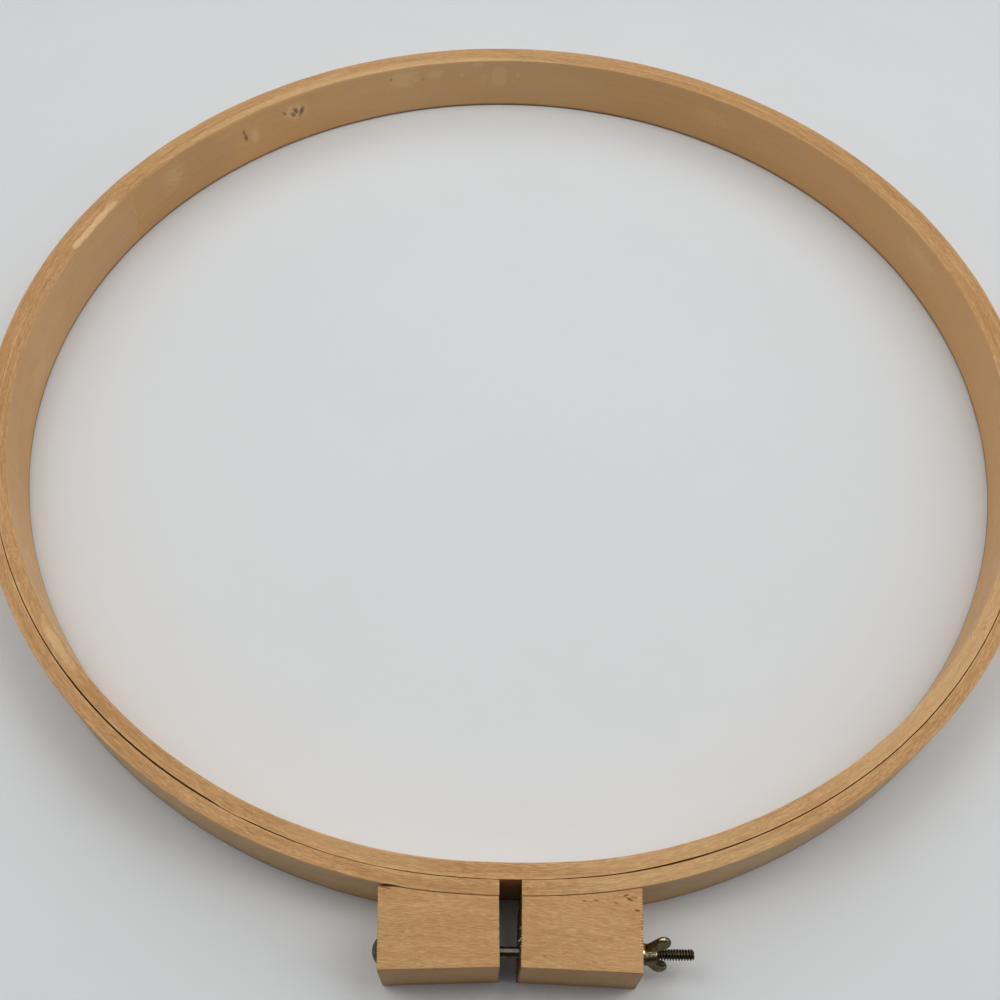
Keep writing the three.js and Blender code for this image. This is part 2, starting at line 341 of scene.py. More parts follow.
def grid_mesh(name, points, values, closed, wrapped, bands=0):
    """A mesh from a grid of points [station, around]. values holds vectors for each corner of
    the grid, one row more than points where it is closed and one column more where wrapped."""
    stations, count = points.shape[:2]
    i, j = np.meshgrid(np.arange(stations - 1 + closed), np.arange(count - 1 + wrapped),
                       indexing="ij")
    i, j = i.ravel(), j.ravel()
    corner_i = np.stack([i, i + 1, i + 1, i], axis=1)
    corner_j = np.stack([j, j, j + 1, j + 1], axis=1)
    faces = ((corner_i % stations) * count + corner_j % count).tolist()
    mesh = bpy.data.meshes.new(name)
    ends = []
    if not closed and wrapped:
        ends = [list(range(count)), [(stations - 1) * count + k for k in range(count)][::-1]]
    flat_points = points.reshape(-1, 3)
    mesh.from_pydata(flat_points.tolist(), [], faces + ends)
    for key, grid in values.items():
        flat = grid[corner_i, corner_j].reshape(-1, 3)
        if ends:
            flat = np.concatenate([flat, grid[0, :count], grid[-1, :count][::-1]])
        layer = mesh.attributes.new(key, "FLOAT_VECTOR", "CORNER")
        layer.data.foreach_set("vector", flat.astype(np.float32).ravel())
    if bands:
        room = 0.96
        along = corner_i / (stations - 1 + closed)
        around = corner_j / (count - 1 + wrapped)
        places = [bake_map(along, around, bands, room).reshape(-1, 2)]
        places.extend(end_map(flat_points[end], index, room) for index, end in enumerate(ends))
        layer = mesh.uv_layers.new(name="OFBake")
        layer.data.foreach_set("uv", np.concatenate(places).astype(np.float32).ravel())
    mesh.validate()
    return mesh


def new_piece(name, mesh, material, smooth_angle=40):
    """A piece of the hoop with its material, shaded smooth apart from its sharp edges."""
    piece = bpy.data.objects.new(name, mesh)
    bpy.context.scene.collection.objects.link(piece)
    mesh.materials.clear()
    mesh.materials.append(material)
    mesh.shade_smooth()
    mesh.set_sharp_from_angle(angle=math.radians(smooth_angle))
    return piece


def apply_modifiers(piece):
    """Gives the piece the mesh that its modifiers make."""
    graph = bpy.context.evaluated_depsgraph_get()
    mesh = bpy.data.meshes.new_from_object(piece.evaluated_get(graph), depsgraph=graph)
    piece.modifiers.clear()
    old = piece.data
    piece.data = mesh
    bpy.data.meshes.remove(old)


def strip_values(angle, along, depth, height, thickness, total, rings):
    """What a strip's material reads: grain runs along the strip, place says where a mark is,
    and face tells flat edges from walls and gives the worn corners."""
    grain = np.stack(np.broadcast_arrays(along, height, depth), axis=-1)
    place = np.stack(np.broadcast_arrays(angle * rings.outer_radius, height, depth), axis=-1)
    corner_reach, corner_blur = 0.9 * MM, 0.3 * MM
    from_top = np.minimum(height, total - height)
    from_wall = np.minimum(depth, thickness - depth)
    flat = np.clip((from_wall - from_top) / corner_blur + 0.5, 0, 1)
    worn = np.clip(1 - (from_top + from_wall) / corner_reach, 0, 1)
    face = np.stack(np.broadcast_arrays(flat, worn, np.zeros_like(flat)), axis=-1)
    return {"grain": grain, "place": place, "face": face}


def extended(grid, closed):
    """A grid with its first column again after its last, and its first row where closed."""
    grid = np.concatenate([grid, grid[:, :1]], axis=1)
    return np.concatenate([grid, grid[:1]], axis=0) if closed else grid


# How wide the gap between the strips is beyond their fit: degrees from the front, millimetres.
RING_GAP = np.array([
    (-180, 0.12), (-150, 0.12), (-120, 0.15), (-95, 0.2), (-75, 0.28), (-60, 0.34),
    (-50, 0.42), (-46, 0.58), (-38, 0.66), (-30, 0.7), (-27.6, 0.6), (-26.6, 0.14),
    (-24.9, 0.12), (-24, 0.4), (-21, 0.36), (-19, 0.22), (-16.5, 0.09), (-12, 0.09),
    (-9, 0.25), (-4, 0.22), (-2, 0.1), (-0.9, 0.07), (0.9, 0.07), (3, 0.1), (5, 0.25),
    (10, 0.42), (13, 0.6), (15, 0.7), (18, 0.52), (25, 0.4), (40, 0.36), (60, 0.3),
    (75, 0.2), (90, 0.15), (180, 0.12)])

# The strips' fit where they touch, and the least rounding of any edge.
RING_FIT = 0.5 * MM
LEAST_EDGE = 0.08 * MM

# Chips along the inner edges and the outer edges: degrees, half length in degrees, and depth.
INNER_CHIPS = ((168.4, 0.3, 0.5 * MM), (195.2, 0.35, 0.6 * MM), (31, 0.4, 0.3 * MM))
OUTER_CHIPS = ((345.5, 0.5, 0.5 * MM), (328, 0.35, 0.5 * MM), (318, 0.3, 0.35 * MM),
               (41, 0.4, 0.4 * MM), (56, 0.5, 0.3 * MM))

# The scarf joint that closes the inner strip.
SCARF_AT = 240.95
SCARF = math.radians(SCARF_AT)
SCARF_LEAN = math.radians(-1.5)
SCARF_LEAN_SPREAD = math.radians(6)
SCARF_STEP = 0.14 * MM
SCARF_FADE = 35 * MM


def chipped(angle, spots):
    """Extra rounding at chips."""
    extra = np.zeros_like(angle)
    for at, half, deep in spots:
        off = from_front(angle - math.radians(at)) / math.radians(half)
        extra += deep * np.exp(-off ** 2)
    return extra


def inner_ring_mesh(rings):
    count = rings.stations
    steps = np.arange(count) / count
    # The stations crowd together where the scarf's thin end makes a step.
    crowd = steps - 0.9 * np.sin(TURN * steps) / TURN
    angle = SCARF + TURN * crowd
    outer = rings.outer_radius - rings.outer_thickness
    easing = np.stack([
        np.full(count, rings.sharp_edge),
        np.full(count, rings.sharp_edge),
        rings.worn_edge * (1 + 0.25 * ripple(angle, seed=4, slowest=5, fastest=60))
        + chipped(angle, INNER_CHIPS),
        1.5 * rings.worn_edge * (1 + 0.2 * ripple(angle, seed=9, slowest=5, fastest=50)),
    ], axis=1)
    thickness = outer - rings.inner_radius - RING_FIT
    section = strip_section(thickness, rings.height)
    depth, height = section_at(section, np.maximum(easing, LEAST_EDGE))
    lean = np.exp(-((from_front(angle - SCARF) / SCARF_LEAN_SPREAD) ** 2))
    station = angle[:, None] + SCARF_LEAN * lean[:, None] * (height / rings.height - 0.5)
    gap = MM * np.interp(np.degrees(from_front(station)), RING_GAP[:, 0], RING_GAP[:, 1])
    # The gap only moves the outer face, and the scarf's step only the inner one.
    share = depth / thickness
    past = (angle[:, None] - SCARF) * rings.inner_radius
    step = SCARF_STEP * np.exp(-past / SCARF_FADE)
    nominal = outer - (1 - share) * gap - share * RING_FIT - depth + share * step
    nominal += 0.07 * MM * share * ripple(station, seed=21, slowest=4, fastest=24)
    points = on_ring(pulled(nominal, station, rings), station, height)
    wide_depth, wide_height = extended(depth, True), extended(height, True)
    wide_angle = extended(station, True)
    wide_angle[-1] += TURN
    along = (wide_angle - SCARF) * rings.inner_radius
    values = strip_values(wide_angle, along, wide_depth, wide_height, thickness, rings.height,
                          rings)
    return grid_mesh("inner_strip", points, values, True, True, bands=5)


def outer_ring_mesh(rings, clamp):
    count = rings.stations
    steps = np.linspace(0, 1, count)
    turns = TURN * steps
    easing = np.stack([
        rings.worn_edge * (1 + 0.2 * ripple(turns, seed=31, slowest=5, fastest=50)),
        rings.worn_edge * (1 + 0.3 * ripple(turns, seed=33, slowest=5, fastest=60))
        + chipped(turns, OUTER_CHIPS),
        np.full(count, rings.sharp_edge),
        np.full(count, rings.sharp_edge),
    ], axis=1)
    section = strip_section(rings.outer_thickness, rings.height)
    depth, height = section_at(section, np.maximum(easing, LEAST_EDGE))
    radius = rings.outer_radius - depth
    start = np.array([[angle_at(float(r), clamp.gap / 2, rings) for r in radius[0]]])
    station = start + (TURN - 2 * start) * steps[:, None]
    # The outer face is a little uneven, and never stands proud of its radius by much.
    wave = 0.05 * MM
    share = 1 - depth / rings.outer_thickness
    radius = radius + wave * share * ripple(station, seed=37, slowest=4, fastest=20) - wave
    points = on_ring(pulled(radius, station, rings), station, height)
    along = extended(station * rings.outer_radius, False)
    values = strip_values(extended(station, False), along, extended(depth, False),
                          extended(height, False), rings.outer_thickness, rings.height, rings)
    # This strip comes from another part of the plank.
    values["grain"][..., 0] += 2.6
    return grid_mesh("outer_strip", points, values, False, True, bands=5)


BLOCK_SEED = 50


def block_outline(side, rings, clamp, seed):
    """A block's outline seen from above, and how deeply each point's edge is rounded."""
    chance = np.random.RandomState(seed)
    seat = rings.outer_radius + clamp.glue_line
    near, far = clamp.gap / 2, BLOCK_HIGH.x
    front = BLOCK_LOW.y
    saw_step, plain_step = 0.19 * MM, 1.5 * MM
    arc = np.linspace(angle_at(seat, near, rings), angle_at(seat, far, rings), 44)
    # The left block's glue has let go at its outer end.
    opened = clamp.let_go[0] * np.clip((seat * np.sin(arc) - far) / clamp.let_go[1] + 1, 0, 1)
    back = on_ring(pulled(seat, arc, rings) + (opened if side < 0 else 0), arc, 0)[:, :2]
    corner = np.array([far - clamp.taper, front])
    inner_front = np.array([near - clamp.gap_lean, front + clamp.slant])

    def line(start, end, spacing):
        count = max(2, int(round(np.linalg.norm(end - start) / spacing)))
        share = np.linspace(0, 1, count + 1)[1:-1, None]
        return start + (end - start) * share

    def sawn(start, end):
        """A sawn face, with ridges across it that never stand proud of the line, and how far the
        saw broke each ridge's edge."""
        points = line(start, end, saw_step)
        run = np.linalg.norm(points - start, axis=1)
        way = (end - start) / np.linalg.norm(end - start)
        inward = np.array([way[1], -way[0]])
        middle = np.array([(near + far) / 2, points[:, 1].mean()])
        if inward @ (middle - start) < 0:
            inward = -inward
        drift = np.cumsum(chance.normal(0, 0.05, len(run)))
        ridge = 0.5 - 0.5 * np.cos(TURN * (run / clamp.saw_pitch) + drift)
        rough = np.convolve(chance.uniform(0, 1, len(run)), np.ones(3) / 3, mode="same")
        depth = clamp.saw_depth * (0.55 * ridge ** 2 + 0.45 * rough)
        return points + inward * depth[:, None], ridge ** 3

    outer_side, outer_broken = sawn(back[-1], corner)
    front_face = line(corner, inner_front, plain_step)
    inner_side, inner_broken = sawn(inner_front, back[0])
    outline = np.concatenate([back, outer_side, [corner], front_face, [inner_front], inner_side])
    # The glued edge is the crispest.
    ragged = np.ones(len(outline))
    ragged[:len(back)] = 0.4
    first = len(back) + len(outer_side) + 1
    ragged[first:first + len(front_face)] = 0.8
    broken = np.concatenate([
        np.zeros(len(back)), outer_broken, [0.0], np.zeros(len(front_face)), [0.0], inner_broken])
    spikes = chance.uniform(0, 1, len(outline)) ** 3
    easing = clamp.edge * (ragged + 2.0 * broken * (0.6 + spikes))
    outline[:, 0] *= side
    if side > 0:
        outline, easing = outline[::-1], easing[::-1]
    return outline, easing


def outward(outline):
    """Unit normals of a closed outline that runs anticlockwise."""
    way = np.roll(outline, -1, axis=0) - np.roll(outline, 1, axis=0)
    way /= np.linalg.norm(way, axis=1)[:, None]
    return np.stack([way[:, 1], -way[:, 0]], axis=-1)


def block_mesh(name, side, rings, clamp, seed):
    outline, easing = block_outline(side, rings, clamp, seed)
    ahead = np.roll(outline, -1, axis=0)
    if np.sum(outline[:, 0] * ahead[:, 1] - outline[:, 1] * ahead[:, 0]) < 0:
        outline, easing = outline[::-1], easing[::-1]
    normal = outward(outline)
    # The outline rises from the foot's rounded edge, up the wall and over the top's.
    rounded = [(1 - math.sin(t), 1 - math.cos(t)) for t in np.linspace(0, math.pi / 2, 4)]
    layers = [(pull, lift * easing) for pull, lift in rounded]
    layers += [(0, np.full(len(outline), share * rings.height))
               for share in np.linspace(0, 1, 8)[1:-1]]
    layers += [(pull, rings.height - lift * easing) for pull, lift in rounded[::-1]]
    points = np.array([
        np.concatenate([outline - normal * (pull * easing)[:, None], z[:, None]], axis=1)
        for pull, z in layers])
    if side > 0:
        near, far = clamp.gap / 2, BLOCK_HIGH.x
        outer = np.clip((points[..., 0] - near) / (far - near), 0, 1)
        foot = 1 - points[..., 2] / rings.height
        points[..., 0] += foot * (outer * clamp.flare[1] - (1 - outer) * clamp.flare[0])
    return grid_mesh(name, points, {}, False, True)


def bore(piece, side, clamp):
    """Cuts the bolt's hole through a block."""
    bpy.ops.mesh.primitive_cylinder_add(
        vertices=48, radius=clamp.hole, depth=0.3, location=(side * 0.03, BOLT_Y, BOLT_Z),
        rotation=(0, math.pi / 2, 0))
    cutter = bpy.context.active_object
    cut = piece.modifiers.new("Bore", "BOOLEAN")
    cut.operation = "DIFFERENCE"
    cut.solver = "EXACT"
    cut.object = cutter
    apply_modifiers(piece)
    bpy.data.objects.remove(cutter)


# How far forward each splinter in the gap grows, its length, and how far it leans.
SPLINTERS = ((-0.2965, 1.1 * MM, -1.6), (-0.3007, 1.7 * MM, -3.4), (-0.3046, 0.8 * MM, 2.2))


def splinter_mesh():
    """Three fine pale splinters that stand out of the right block's sawn face at the gap."""
    chance = np.random.RandomState(12)
    points, faces = [], []
    steps, sides = 7, 5
    sunk, below_top = 0.5 * MM, 1.4 * MM
    for y, length, lean in SPLINTERS:
        root = Vector((BLOCK_LOW.x + sunk, y, INNER_HIGH.z - below_top))
        way = Vector((-1, 0.35 * lean, 0.45))
        first = len(points)
        for k in range(steps):
            share = k / (steps - 1)
            droop = Vector((0, 0, -0.5 * length * share ** 2))
            middle = root + way * (length * share) + droop
            wide = 0.17 * length * (1 - share) ** 0.7 + 0.03 * MM
            middle += Vector(chance.normal(0, 0.02 * MM, 3))
            for turn in range(sides):
                angle = TURN * turn / sides
                points.append(middle + Vector(
                    (0, wide * math.cos(angle), 0.6 * wide * math.sin(angle))))
        for a in range(first, first + sides * (steps - 1), sides):
            for turn in range(sides):
                b = (turn + 1) % sides
                faces.append((a + turn, a + turn + sides, a + b + sides, a + b))
        faces.append(tuple(range(first, first + sides)))
        faces.append(tuple(range(len(points) - sides, len(points)))[::-1])
    mesh = bpy.data.meshes.new("gap_splinters")
    mesh.from_pydata([tuple(p) for p in points], [], faces)
    mesh.validate()
    return mesh


def turned_mesh(name, along, radius):
    """A mesh turned about the bolt's line. radius is a grid [step along X, turn]."""
    turns = radius.shape[1]
    angle = np.arange(turns) / turns * TURN
    y = BOLT_Y + radius * np.cos(angle)
    z = BOLT_Z + radius * np.sin(angle)
    x = np.broadcast_to(along[:, None], radius.shape)
    points = np.stack([x, y, z], axis=-1)
    mesh = grid_mesh(name, points, {}, False, True)
    mesh.flip_normals()
    return mesh


def carriage_bolt_mesh(hardware):
    """The bolt as one turned grid: dome, square neck, plain shank and thread."""
    turns = 64
    angle = np.arange(turns) / turns * TURN
    rim, bevel, neck_bevel, looseness = 0.3 * MM, 0.12 * MM, 0.6 * MM, 0.02 * MM
    seat = BOLT_LOW.x + hardware.head_height
    neck_end = seat + hardware.neck_length
    half = hardware.bolt_radius - looseness
    rows = []

    def row(x, radius):
        rows.append((x, np.broadcast_to(radius, (turns,)).astype(float)))

    dome = hardware.head_height - rim
    ball = (hardware.head_radius ** 2 + dome ** 2) / (2 * dome)
    for share in np.linspace(0.02, 1, 16):
        turn = share * math.asin(hardware.head_radius / ball)
        row(seat - rim - dome + ball * (1 - math.cos(turn)), ball * math.sin(turn))
    row(seat - bevel, hardware.head_radius)
    row(seat, hardware.head_radius - bevel)
    # The neck is square, with its corners cut off.
    corner = 1.32 * half
    square = half / np.maximum(np.abs(np.cos(angle)), np.abs(np.sin(angle)))
    square = np.minimum(square, corner)
    row(seat, square)
    row(neck_end - neck_bevel, square)
    row(neck_end, np.minimum(square, half))
    start = BOLT_HIGH.x - hardware.thread_length
    for x in np.linspace(neck_end + 1 * MM, start - 1.4 * MM, 16):
        row(x, half)
    # The thread has a narrow crest, straight flanks and a wider root. It starts shallow, and its
    # tip is bevelled.
    crest, flank = 0.32, 0.5
    run_in, shallow, tip_bevel = 1.3 * MM, 2.2 * MM, 0.75 * MM
    step = hardware.pitch / 14
    for x in np.arange(start - run_in, BOLT_HIGH.x + step / 2, step):
        phase = (x / hardware.pitch - angle / TURN) % 1
        off = np.abs(phase - 0.5) * 2
        groove = np.clip((off - crest) / flank, 0, 1)
        fade_in = np.clip((x - start + run_in) / shallow, 0, 1)
        depth = hardware.thread_depth * groove * fade_in
        tip = half - np.clip(tip_bevel - (BOLT_HIGH.x - x), 0, None)
        row(min(x, BOLT_HIGH.x), np.minimum(half - depth, tip))
    along = np.array([x for x, _ in rows])
    return turned_mesh("clamp_bolt", along, np.array([radius for _, radius in rows]))


def wing_outline(hardware, bore_radius):
    """A wing's outline in the nut's own plane: distance from the axis and along it."""
    reach = hardware.lobe_radius
    lobe = np.array([hardware.wing_span / 2 - reach, hardware.wing_reach - reach])
    root = bore_radius + 0.8 * MM
    low = np.array([root, 0.7 * MM])
    high = np.array([root, hardware.boss_length - 0.9 * MM])

    def touch(point, turn):
        """Where a line from the point touches the lobe, on one side of it or the other."""
        across = point - lobe
        return math.atan2(across[1], across[0]) + turn * math.acos(reach / np.linalg.norm(across))

    start, end = touch(low, 1), touch(high, -1)
    while end < start:
        end += TURN
    turns = np.linspace(start, end, 26)
    arc = lobe + reach * np.stack([np.cos(turns), np.sin(turns)], axis=-1)
    return np.concatenate([[low], arc, [high]])


def wing_nut_mesh(hardware):
    """The boss and both wings before casting rounds them into one."""
    clearance, bevel, flat_foot = 0.3 * MM, 0.3 * MM, 1.2 * MM
    bore_radius = hardware.bolt_radius + clearance
    mouth = bore_radius + 0.25 * MM
    turns = 64
    angle = np.arange(turns) / turns * TURN
    foot, top, length = hardware.boss_radius, hardware.boss_top_radius, hardware.boss_length
    profile = [
        (0.0, mouth), (0.0, foot - bevel), (bevel, foot), (flat_foot, foot), (length - bevel, top),
        (length, top - bevel), (length, mouth), (length - bevel, bore_radius),
        (bevel, bore_radius)]
    points, faces = [], []
    for x, radius in profile:
        points.extend((x, radius * math.cos(t), radius * math.sin(t)) for t in angle)
    for k in range(len(profile)):
        here, there = k * turns, (k + 1) % len(profile) * turns
        for t in range(turns):
            after = (t + 1) % turns
            faces.append((here + t, here + after, there + after, there + t))
    outline = wing_outline(hardware, bore_radius)
    normal = outward(outline)
    half = hardware.wing_thickness / 2
    for side in (1, -1):
        layers = []
        for share in np.linspace(-1, 1, 9):
            # Its rim is nearly a half round.
            rounding = half * (1 - math.sqrt(1 - 0.96 * share ** 2))
            first = len(points)
            for distance, x in outline - normal * rounding:
                # A wing is thicker at its root than at its tip.
                root = 1 + 0.5 * max(0.0, 1 - (distance - bore_radius) / (hardware.wing_span / 4))
                points.append((x, side * distance, side * share * half * root))
            layers.append(range(first, len(points)))
        for below, above in zip(layers, layers[1:]):
            for k in range(len(below)):
                m = (k + 1) % len(below)
                faces.append((below[k], below[m], above[m], above[k]))
        faces.append(tuple(layers[0])[::-1])
        faces.append(tuple(layers[-1]))
    mesh = bpy.data.meshes.new("clamp_wing_nut")
    mesh.from_pydata(points, [], faces)
    mesh.validate()
    return mesh


def cast(piece, voxel, rounds):
    """Rounds a piece as casting does: its parts melt into one skin with soft edges."""
    remesh = piece.modifiers.new("Cast", "REMESH")
    remesh.mode = "VOXEL"
    remesh.voxel_size = voxel
    smooth = piece.modifiers.new("Soften", "SMOOTH")
    smooth.factor = 0.5
    smooth.iterations = rounds
    apply_modifiers(piece)


# Materials.


def put(tree, kind, *inputs, **settings):
    """Adds a node with its settings and its first inputs, each a value or a socket."""
    node = tree.nodes.new(kind)
    for name, value in settings.items():
        setattr(node, name, value)
    for socket, value in zip(node.inputs, inputs):
        join(tree, value, socket)
    return node


def join(tree, value, socket):
    if value is None:
        return
    if isinstance(value, bpy.types.NodeSocket):
        tree.links.new(value, socket)
    else:
        socket.default_value = value


def math_of(tree, operation, *inputs):
    return put(tree, "ShaderNodeMath", *inputs, operation=operation).outputs[0]


def times(tree, first, second):
    return math_of(tree, "MULTIPLY", first, second)


def plus(tree, first, second):
    return math_of(tree, "ADD", first, second)


def minus(tree, first, second):
    return math_of(tree, "SUBTRACT", first, second)


def over(tree, first, second):
    return math_of(tree, "DIVIDE", first, second)


def vector_of(tree, operation, *inputs):
    return put(tree, "ShaderNodeVectorMath", *inputs, operation=operation)


def blended(tree, factor, first, second):
    """One colour laid over another."""
    node = tree.nodes.new("ShaderNodeMix")
    node.data_type = "RGBA"
    join(tree, factor, node.inputs[0])
    for index, colour in ((6, first), (7, second)):
        if not isinstance(colour, bpy.types.NodeSocket):
            colour = (*colour, 1.0)
        join(tree, colour, node.inputs[index])
    return node.outputs[2]


def spread(tree, value, low, high, to_low=0.0, to_high=1.0):
    """A value moved from one range to another, smoothly and within it."""
    return put(tree, "ShaderNodeMapRange", value, low, high, to_low, to_high,
               interpolation_type="SMOOTHSTEP").outputs[0]


def counted(tree, place, size):
    """A place counted in steps of a size in millimetres, which is a number or a socket."""
    node = vector_of(tree, "SCALE", place)
    steps = 1000.0 / size if isinstance(size, float) else over(tree, 1000.0, size)
    join(tree, steps, node.inputs["Scale"])
    return node.outputs[0]


def noise(tree, vector, scale, detail=2.0, roughness=0.5, output="Fac"):
    node = tree.nodes.new("ShaderNodeTexNoise")
    join(tree, vector, node.inputs["Vector"])
    node.inputs["Scale"].default_value = scale
    node.inputs["Detail"].default_value = detail
    node.inputs["Roughness"].default_value = roughness
    return node.outputs[output]


def read(tree, name):
    return put(tree, "ShaderNodeAttribute", attribute_name=name).outputs["Vector"]


def own_place(tree):
    """Where a point is on its own piece."""
    return put(tree, "ShaderNodeTexCoord").outputs["Object"]


def split(tree, vector):
    return put(tree, "ShaderNodeSeparateXYZ", vector).outputs


def arrange(tree):
    """Lays the nodes out in columns, from what they read to what reads them."""
    column = {node.name: 0 for node in tree.nodes}
    for _ in tree.nodes:
        moved = False
        for link in tree.links:
            wanted = column[link.from_node.name] + 1
            if column[link.to_node.name] < wanted:
                column[link.to_node.name] = wanted
                moved = True
        if not moved:
            break
    used = {}
    for node in tree.nodes:
        place = column[node.name]
        used[place] = used.get(place, 0) + 1
        node.location = (220 * place, -190 * used[place])


def new_group(name, inputs, outputs):
    """A shader node group with named sockets. Each input is (name, kind, default)."""
    group = bpy.data.node_groups.new(name, "ShaderNodeTree")
    for label, kind, default in inputs:
        socket = group.interface.new_socket(label, in_out="INPUT", socket_type=kind)
        if default is not None:
            socket.default_value = default
    for label, kind in outputs:
        group.interface.new_socket(label, in_out="OUTPUT", socket_type=kind)
    start = group.nodes.new("NodeGroupInput")
    end = group.nodes.new("NodeGroupOutput")
    return group, start.outputs, end.inputs


def use(tree, group, **values):
    """Places a group in a material with its own values. An underscore stands for a space."""
    node = tree.nodes.new("ShaderNodeGroup")
    node.node_tree = group
    for name, value in values.items():
        join(tree, value, node.inputs[name.replace("_", " ")])
    return node.outputs


def beech_grain_group():
    """Beech: slow bands, fine lines, and short dark rays that all run along the grain."""
    group, given, out = new_group(
        "Beech grain",
        [("Along", "NodeSocketVector", None), ("Band width", "NodeSocketFloat", 3.0),
         ("Line width", "NodeSocketFloat", 0.5), ("Ray length", "NodeSocketFloat", 2.6),
         ("Ray width", "NodeSocketFloat", 0.34), ("Fibre length", "NodeSocketFloat", 7.0)],
        [("Bands", "NodeSocketFloat"), ("Lines", "NodeSocketFloat"), ("Rays", "NodeSocketFloat"),
         ("Fibre", "NodeSocketFloat")])

    def stretched(place, length, width):
        """A place in millimetres, counted in lengths along the grain and in widths across it."""
        x, y, z = split(group, place)[:3]
        return put(group, "ShaderNodeCombineXYZ", over(group, x, length), over(group, y, width),
                   over(group, z, width)).outputs[0]

    # The grain wanders slowly to and fro, and everything in it follows.
    straight = counted(group, given["Along"], 1.0)
    wander = noise(group, stretched(straight, 38.0, 16.0), 1.0, 1.0)
    aside = put(group, "ShaderNodeCombineXYZ", 0.0, times(group, wander, 5.0),
                times(group, wander, 2.4)).outputs[0]
    wavy = vector_of(group, "ADD", straight, aside).outputs[0]
    for name, length, width, detail, roughness, low, high in (
            ("Bands", 70.0, given["Band width"], 3.0, 0.55, 0.34, 0.66),
            ("Lines", 24.0, given["Line width"], 2.0, 0.6, 0.5, 0.74),
            ("Rays", given["Ray length"], given["Ray width"], 1.0, 0.4, 0.64, 0.73),
            ("Fibre", given["Fibre length"], 0.29, 2.0, 0.6, 0.34, 0.66)):
        figure = noise(group, stretched(wavy, length, width), 1.0, detail, roughness)
        join(group, spread(group, figure, low, high), out[name])
    arrange(group)
    return group


def mottle_group():
    """Slow uneven colour, as varnish and handling leave it."""
    group, given, out = new_group(
        "Mottle",
        [("Place", "NodeSocketVector", None), ("Size", "NodeSocketFloat", 12.0),
         ("Sharpness", "NodeSocketFloat", 0.3)],
        [("Patches", "NodeSocketFloat"), ("Specks", "NodeSocketFloat")])
    cloud = noise(group, counted(group, given["Place"], given["Size"]), 1.0, 5.0, 0.62)
    half = minus(group, 0.5, times(group, given["Sharpness"], 0.5))
    low = plus(group, times(group, half, 0.72), 0.14)
    join(group, spread(group, cloud, low, minus(group, 1.0, low)), out["Patches"])
    specks = noise(group, given["Place"], 900.0, 2.0, 0.6)
    join(group, spread(group, specks, 0.62, 0.74), out["Specks"])
    arrange(group)
    return group


def mark_group():
    """One mark at a place: a scrape, stain, chip or pore, with a ragged edge."""
    group, given, out = new_group(
        "Mark",
        [("Place", "NodeSocketVector", None), ("Centre", "NodeSocketVector", (0, 0, 0)),
         ("Reach", "NodeSocketVector", (0.005, 0.005, 0.005)), ("Turn", "NodeSocketFloat", 0.0),
         ("Ragged", "NodeSocketFloat", 0.5), ("Grit", "NodeSocketFloat", 1.5),
         ("Softness", "NodeSocketFloat", 0.5)],
        [("Mask", "NodeSocketFloat")])
    away = vector_of(group, "SUBTRACT", given["Place"], given["Centre"]).outputs[0]
    turned = put(group, "ShaderNodeVectorRotate", away, rotation_type="Z_AXIS")
    join(group, given["Turn"], turned.inputs["Angle"])
    near = vector_of(group, "DIVIDE", turned.outputs[0], given["Reach"]).outputs[0]
    rough = noise(group, counted(group, given["Place"], given["Grit"]), 1.0, 3.0, output="Color")
    wild = vector_of(group, "SCALE",
                     vector_of(group, "SUBTRACT", rough, (0.5, 0.5, 0.5)).outputs[0])
    join(group, given["Ragged"], wild.inputs["Scale"])
    moved = vector_of(group, "ADD", near, wild.outputs[0]).outputs[0]
    far = vector_of(group, "LENGTH", moved).outputs["Value"]
    mask = spread(group, far, 1.0, minus(group, 1.0, given["Softness"]))
    join(group, mask, out["Mask"])
    arrange(group)
    return group


def worn_metal_group():
    """Dark plating over metal: cast grain, tarnish in patches, and bare spots."""
    group, given, out = new_group(
        "Worn plating",
        [("Place", "NodeSocketVector", None), ("Grain", "NodeSocketFloat", 0.3),
         ("Patch size", "NodeSocketFloat", 2.0), ("Bare", "NodeSocketFloat", 0.3)],
        [("Wear", "NodeSocketFloat"), ("Tarnish", "NodeSocketFloat"),
         ("Height", "NodeSocketFloat")])
    grain = noise(group, counted(group, given["Place"], given["Grain"]), 1.0, 3.0, 0.6)
    join(group, grain, out["Height"])
    wide = counted(group, given["Place"], given["Patch size"])
    patches = noise(group, wide, 1.0, 4.0, 0.6)
    least = minus(group, 0.78, times(group, given["Bare"], 0.4))
    join(group, spread(group, patches, least, plus(group, least, 0.14)), out["Wear"])
    join(group, spread(group, noise(group, wide, 2.3, 3.0), 0.4, 0.65), out["Tarnish"])
    arrange(group)
    return group


GROUPS = {}


def shared(name):
    """One of the node groups that several materials use, made the first time it is needed."""
    makers = {"grain": beech_grain_group, "mottle": mottle_group, "mark": mark_group,
              "plating": worn_metal_group}
    if name not in GROUPS:
        GROUPS[name] = makers[name]()
    return GROUPS[name]


def new_material(name, gloss=0.5):
    material = bpy.data.materials.new(name)
    material.use_nodes = True
    tree = material.node_tree
    tree.nodes.clear()
    shader = tree.nodes.new("ShaderNodeBsdfPrincipled")
    shader.inputs["Specular IOR Level"].default_value = gloss
    output = tree.nodes.new("ShaderNodeOutputMaterial")
    tree.links.new(shader.outputs[0], output.inputs[0])
    return material, tree, shader.inputs


def bumped(tree, shader, height, strength, distance):
    node = tree.nodes.new("ShaderNodeBump")
    node.inputs["Strength"].default_value = strength
    node.inputs["Distance"].default_value = distance
    join(tree, height, node.inputs["Height"])
    tree.links.new(node.outputs[0], shader["Normal"])


